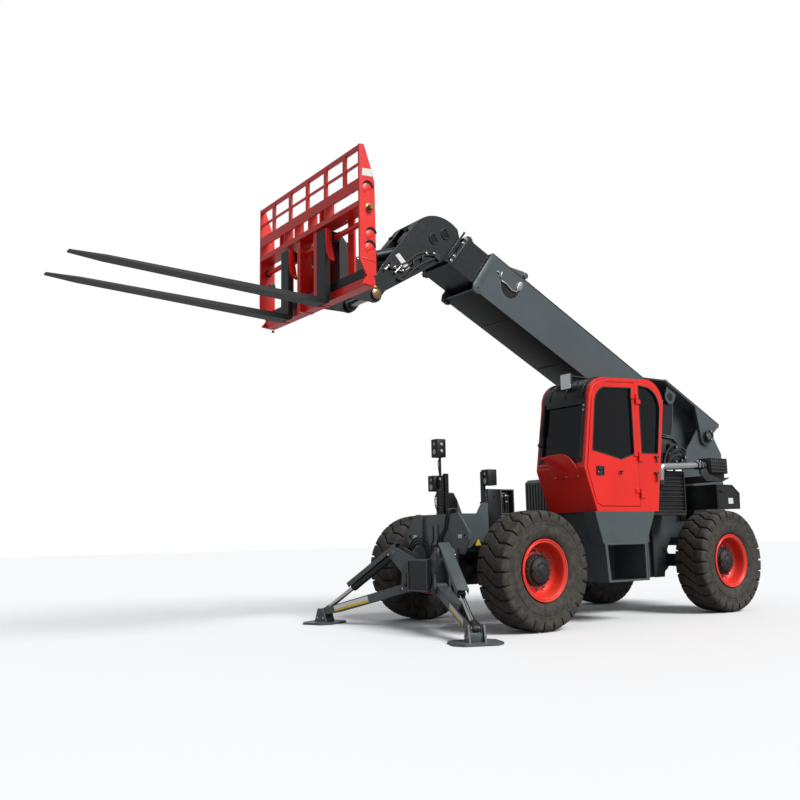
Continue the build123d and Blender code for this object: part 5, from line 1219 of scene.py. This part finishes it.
class HANDLER_OT_tail(bpy.types.Operator):
    """Air cleaner, intake pipe, cooler grille, painted shade behind the cab, valve cover, tower bays with painted
    shade in them, tail boxes and lift cylinder guards
    """
    bl_idname = "handler.tail"
    bl_label = "Tail and air cleaner"

    def execute(self, context):
        cleaner = Vector((-1.830, 1.000, 1.960))
        body = block(cleaner + Vector((-0.208, -0.098, -0.098)), cleaner + Vector((0.176, 0.098, 0.098)), 0.030)
        hoops = [block(cleaner + Vector((across, -0.106, -0.106)), cleaner + Vector((across + 0.022, 0.106, 0.106)),
                       0.010)
                 for across in (-0.200 + 0.0425 * i for i in range(9))]
        bars = [block(cleaner + Vector((-0.196, 0.098, up)), cleaner + Vector((0.170, 0.1085, up + 0.016)), 0.003)
                for up in (-0.088, -0.044, 0.000, 0.044)]
        neck = moved(turned([(0.205, 0), (0.205, 0.062), (0.262, 0.058), (0.268, 0.052), (0.352, 0.052),
                             (0.356, 0.056), (0.372, 0.056), (0.372, 0)],
                            36, closed=False), Matrix.Translation(cleaner) @ TO_FRONT)
        caps = [block((cleaner.x - 0.150 + 0.110 * i, 0.985, cleaner.z + 0.104),
                      (cleaner.x - 0.128 + 0.110 * i, 1.015, cleaner.z + 0.1095), 0.002)
                for i in range(3)]
        saddle = [block((-2.050, 0.965, 1.758), (-1.600, 1.035, 1.862), 0.006)]
        shelf = [plate([(-2.060, 1.790), (-1.900, 1.742), (-1.560, 1.742), (-1.470, 1.800), (-1.470, 1.812),
                        (-1.565, 1.756), (-1.895, 1.756), (-2.060, 1.804)], "XZ", 0.521, 1.095, bevel=0.002),
                 plate([(-1.900, 1.742), (-1.560, 1.742), (-1.470, 1.806), (-1.470, 1.900), (-1.600, 1.920),
                        (-1.640, 1.860), (-1.900, 1.770)],
                       "XZ", 1.060, 1.072, bevel=0.002)]
        finish([body, neck] + hoops + bars + caps + saddle + shelf, "air_cleaner_model", "black_plastic", "chassis",
               MACHINE, replaces=["air_cleaner"])
        pipe = bent([(-1.470, 1.000, 1.958), (-0.715, 1.000, 1.922), (-0.715, 0.985, 1.730)],
                    context.scene.handler_sizes.intake_radius, (0.110,), rounds=6)
        finish([pipe], "intake_pipe_model", "aluminium_pipe", "chassis", MACHINE, replaces=["intake_pipe"])
        clamps = [moved(turned([(0, 0.055), (0.014, 0.055), (0.014, 0.0585), (0, 0.0585)], 36),
                        Matrix.Translation((x, 1.000, 1.960)) @ TO_FRONT)
                  for x in (-1.560, -1.500, -1.482)]
        clamps += [rod((x + 0.007, 1.000, 2.016), (x + 0.007, 1.020, 2.030), 0.007, 6, 0.001)
                   for x in (-1.560, -1.500)]
        finish(clamps, "intake_clamps", "machined_steel", "chassis", MACHINE, "bright_fitting")
        elbow = bent([(-0.715, 0.985, 1.745), (-0.715, 0.985, 1.690), (-0.715, 0.932, 1.660)], 0.052, (0.035,),
                     rounds=5)
        grille = ring_plate([(-1.288, 1.330), (-0.582, 1.330), (-0.582, 1.868), (-1.288, 1.868)], "XZ", 0.9302, 0.940,
                            0.024)
        bars = [block((-1.270, 0.906, 1.352 + 0.025 * i), (-0.600, 0.924, 1.358 + 0.025 * i), 0.001)
                for i in range(20)]
        finish([elbow, round_edges(grille, 0.003)] + bars, "cooler_grille", "black_plastic", "chassis", MACHINE)

        # Near-black blocks behind the cab: painted shade in the gap there.
        gap_shade = [block((-1.340, 0.600, 1.872), (-0.600, 0.612, 2.080), 0.004),
                block((-1.290, 0.560, 1.868), (-0.600, 0.910, 1.884), 0.004),
                block((-1.200, 0.612, 1.900), (-1.040, 0.690, 1.990), 0.008)]
        finish(gap_shade, "shade_behind_cab", "black_plastic", "chassis", MACHINE, "painted_shade_black")
        cover = [(-1.351, 2.405), (-1.585, 2.387), (-1.670, 2.333), (-1.866, 2.224), (-1.812, 2.030), (-1.420, 2.000),
                 (-1.330, 2.080)]
        finish([plate(cover, "XZ", 0.531, 0.536, bevel=0.001),
                block((-1.760, 0.521, 2.010), (-1.380, 0.640, 2.170), 0.010),
                block((-1.700, 0.536, 2.170), (-1.460, 0.610, 2.300), 0.010)],
               "valve_cover", "black_plastic", "chassis", MACHINE)
        edge = plate(strip_along([(-1.866, 2.224), (-1.670, 2.333), (-1.585, 2.387), (-1.351, 2.405)], -0.001, 0.012),
                     "XZ", 0.531, 0.562, bevel=0.002)
        finish([edge], "valve_cover_edge", "frame_paint", "chassis", MACHINE)
        runs = [[(-1.700, 0.640, 2.100), (-1.640, 0.700, 2.160), (-1.500, 0.690, 2.220), (-1.380, 0.640, 2.120),
                 (-1.320, 0.620, 1.950)],
                [(-1.620, 0.640, 2.060), (-1.560, 0.720, 2.100), (-1.440, 0.720, 2.140), (-1.320, 0.660, 2.040),
                 (-1.260, 0.640, 1.900)],
                [(-1.560, 0.610, 2.250), (-1.500, 0.680, 2.290), (-1.400, 0.670, 2.260), (-1.300, 0.640, 2.140),
                 (-1.250, 0.640, 2.000)],
                [(-1.500, 0.640, 2.040), (-1.460, 0.690, 2.000), (-1.420, 0.680, 1.920), (-1.400, 0.660, 1.870)]]
        finish([tube(run, 0.014) for run in runs], "valve_hoses", "hose_rubber", "chassis", MACHINE)
        nuts = [rod((x, 0.636, z), (x, 0.672, z), 0.019, 6, 0.002)
                for x, z in ((-1.700, 2.100), (-1.620, 2.060), (-1.500, 2.040))]
        nuts += [rod((-1.560, 0.606, 2.250), (-1.560, 0.640, 2.250), 0.018, 6, 0.002),
                 block((-1.360, 0.600, 1.940), (-1.280, 0.660, 1.985), 0.006)]
        finish(nuts, "valve_fittings", "machined_steel", "chassis", MACHINE, "bright_fitting")

        bays = ([(-1.651, 1.567), (-1.811, 1.562), (-1.755, 1.200), (-1.590, 1.200)],
                [(-1.836, 1.562), (-2.040, 1.578), (-2.055, 1.510), (-1.968, 1.200), (-1.780, 1.200)])
        for side, sign in SIDES.items():
            low, high = outward(sign, 0.5203, 0.530)
            frames = [round_edges(ring_plate(bay, "XZ", low, high, 0.012), 0.002) for bay in bays]
            finish(frames, f"tower_bay_frames_{side}", "frame_paint", "chassis", MACHINE)
            # Near-black plates in the tower bays: painted shade inside them.
            low, high = outward(sign, 0.5202, 0.522)
            finish([plate(bay, "XZ", low, high) for bay in bays], f"tower_bay_shade_{side}", "black_plastic", "chassis",
                   MACHINE, "painted_shade_black")
            low, high = outward(sign, 0.521, 0.556)
            y = (low + high) / 2
            hoses = [tube([(x, y, 1.540), (x - 0.012, y, 1.440), (x + 0.012, y, 1.330), (x, y, 1.220)], 0.012)
                     for x in (-1.690, -1.730, -1.880, -1.930)]
            finish(hoses, f"tower_bay_hoses_{side}", "hose_rubber", "chassis", MACHINE)

            box_y = outward(sign, 1.0802, 1.0822)
            finish([plate([(-2.030, 1.440), (-2.140, 1.440), (-2.140, 1.520), (-2.030, 1.520)], "XZ", *box_y)],
                   f"tail_box_plate_{side}", "aluminium_pipe", "chassis", MACHINE, "white_plate")
            seam = ring_plate([(-2.286, 1.385), (-1.800, 1.385), (-1.800, 1.690), (-2.138, 1.690), (-2.290, 1.588)],
                              "XZ", *outward(sign, 1.0801, 1.0835), 0.008)
            low, high = outward(sign, 1.081, 1.104)
            grip = block((-1.930, low, 1.600), (-1.850, high, 1.620), 0.004)
            finish([seam, grip], f"tail_box_seam_{side}", "black_paint", "chassis", MACHINE)
            lights = [block((-2.318, sign * y - 0.045, 1.400), (-2.292, sign * y + 0.045, 1.560), 0.006)
                      for y in (0.640, 0.960)]
            finish(lights, f"tail_lights_{side}", "tinted_glass", "chassis", MACHINE, "red_lens")

        eye = BOOM @ Vector(LIFT_PIN)
        foot = MACHINE @ Vector(LIFT_FOOT)
        slope = (foot - eye).normalized()
        turn = Matrix(((slope.x, 0, -slope.z), (0, 1, 0), (slope.z, 0, slope.x))).to_4x4()
        ram = Matrix.Translation(eye) @ turn
        for side, sign in SIDES.items():
            low, high = outward(sign, 0.479, 0.487)
            ring = ring_plate([(0.060, -0.115), (0.150, -0.130), (0.560, -0.125), (0.580, 0.110), (0.150, 0.130),
                               (0.060, 0.110)], "XZ", low, high, 0.016)
            finish([round_edges(ring, 0.002)], f"lift_guard_edge_{side}", "frame_paint", "lift_barrel_pair", ram)
            # A dark plate inside each edge ring.
            low, high = outward(sign, 0.4785, 0.482)
            finish([plate([(0.070, -0.105), (0.555, -0.115), (0.570, 0.100), (0.070, 0.102)], "XZ", low, high)],
                   f"lift_guard_{side}", "boom_dark_paint", "lift_barrel_pair", ram)
            gland = [rod((1.300, sign * LIFT_ACROSS, 0), (1.372, sign * LIFT_ACROSS, 0), 0.088, 40, 0.004)]
            finish(gland, f"lift_gland_{side}", "black_paint", "lift_barrel_pair", ram)
            line = [tube([(0.300, sign * LIFT_ACROSS, -0.088), (0.700, sign * LIFT_ACROSS, -0.092),
                          (1.100, sign * LIFT_ACROSS, -0.092), (1.250, sign * LIFT_ACROSS, -0.086)], 0.010)]
            finish(line, f"lift_line_{side}", "machined_steel", "lift_barrel_pair", ram, "zinc_plate")
        return {"FINISHED"}


class HANDLER_OT_engine_side(bpy.types.Operator):
    """Hood ribs and service doors, exhaust, tank straps and cap, and the cab step's edging"""
    bl_idname = "handler.engine_side"
    bl_label = "Engine side and steps"

    def execute(self, context):
        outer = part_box("engine_hood")[0].y
        hood_front = -0.340
        ribs = [block((hood_front, y, 1.375), (hood_front + 0.014, y + 0.022, 1.800), 0.004)
                for y in [-1.165 + 0.058 * i for i in range(11)]]
        ribs += [block((hood_front, -1.190, 1.355), (hood_front + 0.006, -0.512, 1.372), 0.002)]
        finish(ribs, "hood_front_ribs", "frame_paint", "chassis", MACHINE)
        doors = [ring_plate([(-0.945, 1.395), (-0.355, 1.395), (-0.355, 1.800), (-0.410, 1.845), (-0.895, 1.868),
                             (-0.945, 1.815)], "XZ",
                            outer - 0.004, outer, 0.010),
                 ring_plate([(-0.945, 1.020), (-0.020, 1.020), (-0.020, 1.335), (-0.945, 1.335)], "XZ", outer - 0.004,
                            outer, 0.010),
                 ring_plate([(0.010, 1.020), (0.800, 1.020), (0.855, 1.110), (0.855, 1.270), (0.810, 1.325),
                             (0.010, 1.325)], "XZ", outer - 0.004, outer, 0.010)]
        fins = [block((-0.885 + 0.120 * i, outer - 0.002, 1.462 + 0.036 * j),
                      (-0.825 + 0.120 * i, outer + 0.010, 1.474 + 0.036 * j), 0.002)
                for i in range(4) for j in range(8)]
        finish(doors + fins, "hood_door_seams", "black_paint", "chassis", MACHINE)
        latches = [block((x - 0.030, outer - 0.014, z - 0.012), (x + 0.030, outer, z + 0.012), 0.004)
                   for x, z in ((-0.420, 1.600), (-0.100, 1.180), (0.760, 1.180), (0.080, 1.180))]
        hinges = [rod((x - 0.030, outer - 0.008, z), (x + 0.030, outer - 0.008, z), 0.009, 14, 0.002)
                  for x, z in ((-0.860, 1.872), (-0.460, 1.856), (-0.800, 1.340), (-0.200, 1.340), (0.150, 1.330),
                               (0.700, 1.330))]
        finish(latches + hinges, "hood_latches", "black_plastic", "chassis", MACHINE)
        exhaust = bent([(-0.700, -0.700, 1.870), (-0.700, -0.700, 1.990), (-0.790, -0.700, 2.030)], 0.038, (0.035,),
                       rounds=5)
        collar = rod((-0.700, -0.700, 1.862), (-0.700, -0.700, 1.885), 0.060, 28, 0.004)
        finish([exhaust, collar], "exhaust_outlet", "machined_steel", "chassis", MACHINE, "zinc_plate")

        tank_low, tank_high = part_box("fuel_tank")
        middle = (tank_low + tank_high) / 2 - Vector((MIDDLE, 0, 0))
        straps = []
        for x in (middle.x - 0.190, middle.x + 0.190):
            straps.append(block((x - 0.025, tank_low.y - 0.006, 0.570), (x + 0.025, tank_low.y + 0.002, 0.896),
                                0.002))
            straps.append(block((x - 0.025, tank_low.y - 0.006, 0.888), (x + 0.025, -0.560, 0.896), 0.002))
        finish(straps, "tank_straps", "black_paint", "chassis", MACHINE)
        cap = [rod((middle.x + 0.290, tank_low.y + 0.090, 0.888), (middle.x + 0.290, tank_low.y + 0.090, 0.935),
                   0.042, 28, 0.005),
               rod((middle.x - 0.300, tank_low.y - 0.010, 0.620), (middle.x - 0.300, tank_low.y + 0.010, 0.620),
                   0.020, 20, 0.003)]
        finish(cap, "tank_cap", "black_plastic", "chassis", MACHINE)

        outer_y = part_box("cab_steps")[1].y
        frame_edge = ring_plate([(-0.178, 0.483), (0.565, 0.483), (0.606, 0.946), (-0.178, 0.946)], "XZ",
                                outer_y - 0.002, outer_y + 0.006, 0.016)
        nosing = block((-0.176, outer_y - 0.060, 0.498), (0.560, outer_y + 0.006, 0.506), 0.002)
        finish([round_edges(frame_edge, 0.002), nosing], "step_edging", "frame_paint", "chassis", MACHINE)
        grips = [block((-0.160 + 0.045 * i, 0.650, 0.4995), (-0.140 + 0.045 * i, 1.130, 0.506), 0.002)
                 for i in range(16)]
        finish(grips, "step_tread_grips", "black_paint", "chassis", MACHINE)
        bay = [(0.330, 0.955), (-0.375, 0.955), (-0.395, 1.292), (0.330, 1.292)]
        finish([round_edges(ring_plate(bay, "XZ", 0.9602, 0.972, 0.014), 0.002),
                plate(strip_along([(0.610, 0.952), (-0.420, 0.952)], 0.0, 0.008),
               "XZ", 0.9602, 1.000, bevel=0.001)], "step_bay_frame", "frame_paint", "chassis", MACHINE)
        # A near-black plate in the step bay: painted shade inside it.
        finish([plate(bay, "XZ", 0.9601, 0.9615)], "step_bay", "black_plastic", "chassis", MACHINE, "painted_shade_black")
        holes = [moved(eye_ring(0.016, 0.028, 0.003), MACHINE @ Matrix.Translation((x, 0.6402, z)))
                 for x, z in ((0.120, 0.600), (0.280, 0.600))]
        finish(holes, "step_holes", "frame_paint", "chassis")
        return {"FINISHED"}


# ---------------------------------------------------------------- stage and finishes
CAMERA_AT = (8.8063, 8.4792, 1.0947)
CAMERA_YAW, CAMERA_PITCH, CAMERA_ROLL = -2.1894, 0.1521, -0.0183
CAMERA_LENS, FILM_WIDTH = 39.59, 36.0                # millimetres
FLOOR_SIZE = 120
SUN_HEIGHT, SUN_BEARING, SUN_SPREAD = radians(42), radians(12), radians(28)


class HANDLER_OT_stage(bpy.types.Operator):
    """Pale floor, soft daylight and the camera at front left"""
    bl_idname = "handler.stage"
    bl_label = "Stage and camera"

    def execute(self, context):
        level = cos(CAMERA_PITCH)
        ahead = Vector((cos(CAMERA_YAW) * level, sin(CAMERA_YAW) * level, sin(CAMERA_PITCH)))
        right = ahead.cross(Vector((0, 0, 1))).normalized()
        up = right.cross(ahead)
        lean, upright = sin(CAMERA_ROLL), cos(CAMERA_ROLL)
        right, up = upright * right + lean * up, -lean * right + upright * up
        deselect()
        bpy.ops.object.camera_add()
        camera = context.object
        camera.name = "camera"
        turn = Matrix((right, up, -ahead)).transposed().to_4x4()
        camera.matrix_world = MACHINE @ Matrix.Translation(CAMERA_AT) @ turn
        camera.data.sensor_width = FILM_WIDTH
        camera.data.lens = CAMERA_LENS
        camera.data.clip_end = 200
        context.scene.camera = camera

        bpy.ops.mesh.primitive_plane_add(size=FLOOR_SIZE, location=(0, 0, -0.001))
        floor = context.object
        floor.name = "floor"
        m = Mixer("pale floor")
        floor.data.materials.append(m.finish(Base_Color=(0.86, 0.86, 0.86, 1), Roughness=0.7))
        # The camera sees the pale floor; light bounces off a darker one, which keeps the undersides dark.
        nodes, links = m.tree.nodes, m.tree.links
        dim, seen, choice = (nodes.new(kind) for kind in ("ShaderNodeBsdfDiffuse", "ShaderNodeLightPath",
                                                          "ShaderNodeMixShader"))
        dim.inputs["Color"].default_value = (0.34, 0.34, 0.34, 1)
        links.new(seen.outputs["Is Camera Ray"], choice.inputs[0])
        links.new(dim.outputs[0], choice.inputs[1])
        links.new(m.shader.outputs[0], choice.inputs[2])
        links.new(choice.outputs[0], m.output.inputs[0])

        # In the same way the sky lights the machine softly and shows as plain white behind it.
        world = bpy.data.worlds.new("soft white sky")
        world.use_nodes = True
        tree = world.node_tree
        seen = tree.nodes.new("ShaderNodeLightPath")
        sky = tree.nodes["Background"]
        sky.inputs["Color"].default_value = (0.93, 0.97, 1.0, 1)
        sky.inputs["Strength"].default_value = 0.42
        backdrop = tree.nodes.new("ShaderNodeBackground")
        backdrop.inputs["Color"].default_value = (1, 1, 1, 1)
        backdrop.inputs["Strength"].default_value = 1.0
        choice = tree.nodes.new("ShaderNodeMixShader")
        tree.links.new(seen.outputs["Is Camera Ray"], choice.inputs[0])
        tree.links.new(sky.outputs[0], choice.inputs[1])
        tree.links.new(backdrop.outputs[0], choice.inputs[2])
        tree.links.new(choice.outputs[0], tree.nodes["World Output"].inputs[0])
        context.scene.world = world
        context.scene.view_settings.view_transform = "Standard"
        bpy.ops.object.light_add(type="SUN", location=(0, 12, 12))
        sun = context.object
        sun.name = "soft_sun"
        sun.data.energy = 3.6
        sun.data.angle = SUN_SPREAD
        level = cos(SUN_HEIGHT)
        towards = Vector((-sin(SUN_BEARING) * level, cos(SUN_BEARING) * level, sin(SUN_HEIGHT)))
        sun.rotation_euler = (-towards).to_track_quat("-Z", "Y").to_euler()
        return {"FINISHED"}


class HANDLER_OT_finishes(bpy.types.Operator):
    """A finish for every construction piece"""
    bl_idname = "handler.finishes"
    bl_label = "Finishes"

    def execute(self, context):
        make_materials(context.scene.handler_colours)
        for node in NODES:
            coat_node(node)
        return {"FINISHED"}


class HANDLER_PT_panel(bpy.types.Panel):
    bl_idname = "HANDLER_PT_panel"
    bl_label = "Telehandler"
    bl_space_type = "VIEW_3D"
    bl_region_type = "UI"
    bl_category = "Telehandler"

    def draw(self, context):
        scene = context.scene
        for group in (scene.handler_sizes, scene.handler_colours):
            for name in type(group).__annotations__:
                self.layout.prop(group, name)
        for operator in OPERATORS:
            self.layout.operator(operator.bl_idname)


OPERATORS = (HANDLER_OT_stage, HANDLER_OT_finishes, HANDLER_OT_wheels, HANDLER_OT_cab, HANDLER_OT_boom,
             HANDLER_OT_gooseneck, HANDLER_OT_carriage, HANDLER_OT_front_frame, HANDLER_OT_outriggers,
             HANDLER_OT_tail, HANDLER_OT_engine_side)
CLASSES = (HandlerSizes, HandlerColours) + OPERATORS + (HANDLER_PT_panel,)


def register():
    for cls in CLASSES:
        bpy.utils.register_class(cls)
    bpy.types.Scene.handler_sizes = PointerProperty(type=HandlerSizes)
    bpy.types.Scene.handler_colours = PointerProperty(type=HandlerColours)


def unregister():
    del bpy.types.Scene.handler_colours
    del bpy.types.Scene.handler_sizes
    for cls in reversed(CLASSES):
        bpy.utils.unregister_class(cls)


def main():
    register()
    for operator in OPERATORS:
        group, action = operator.bl_idname.split(".")
        getattr(getattr(bpy.ops, group), action)()


if __name__ == "__main__":
    main()
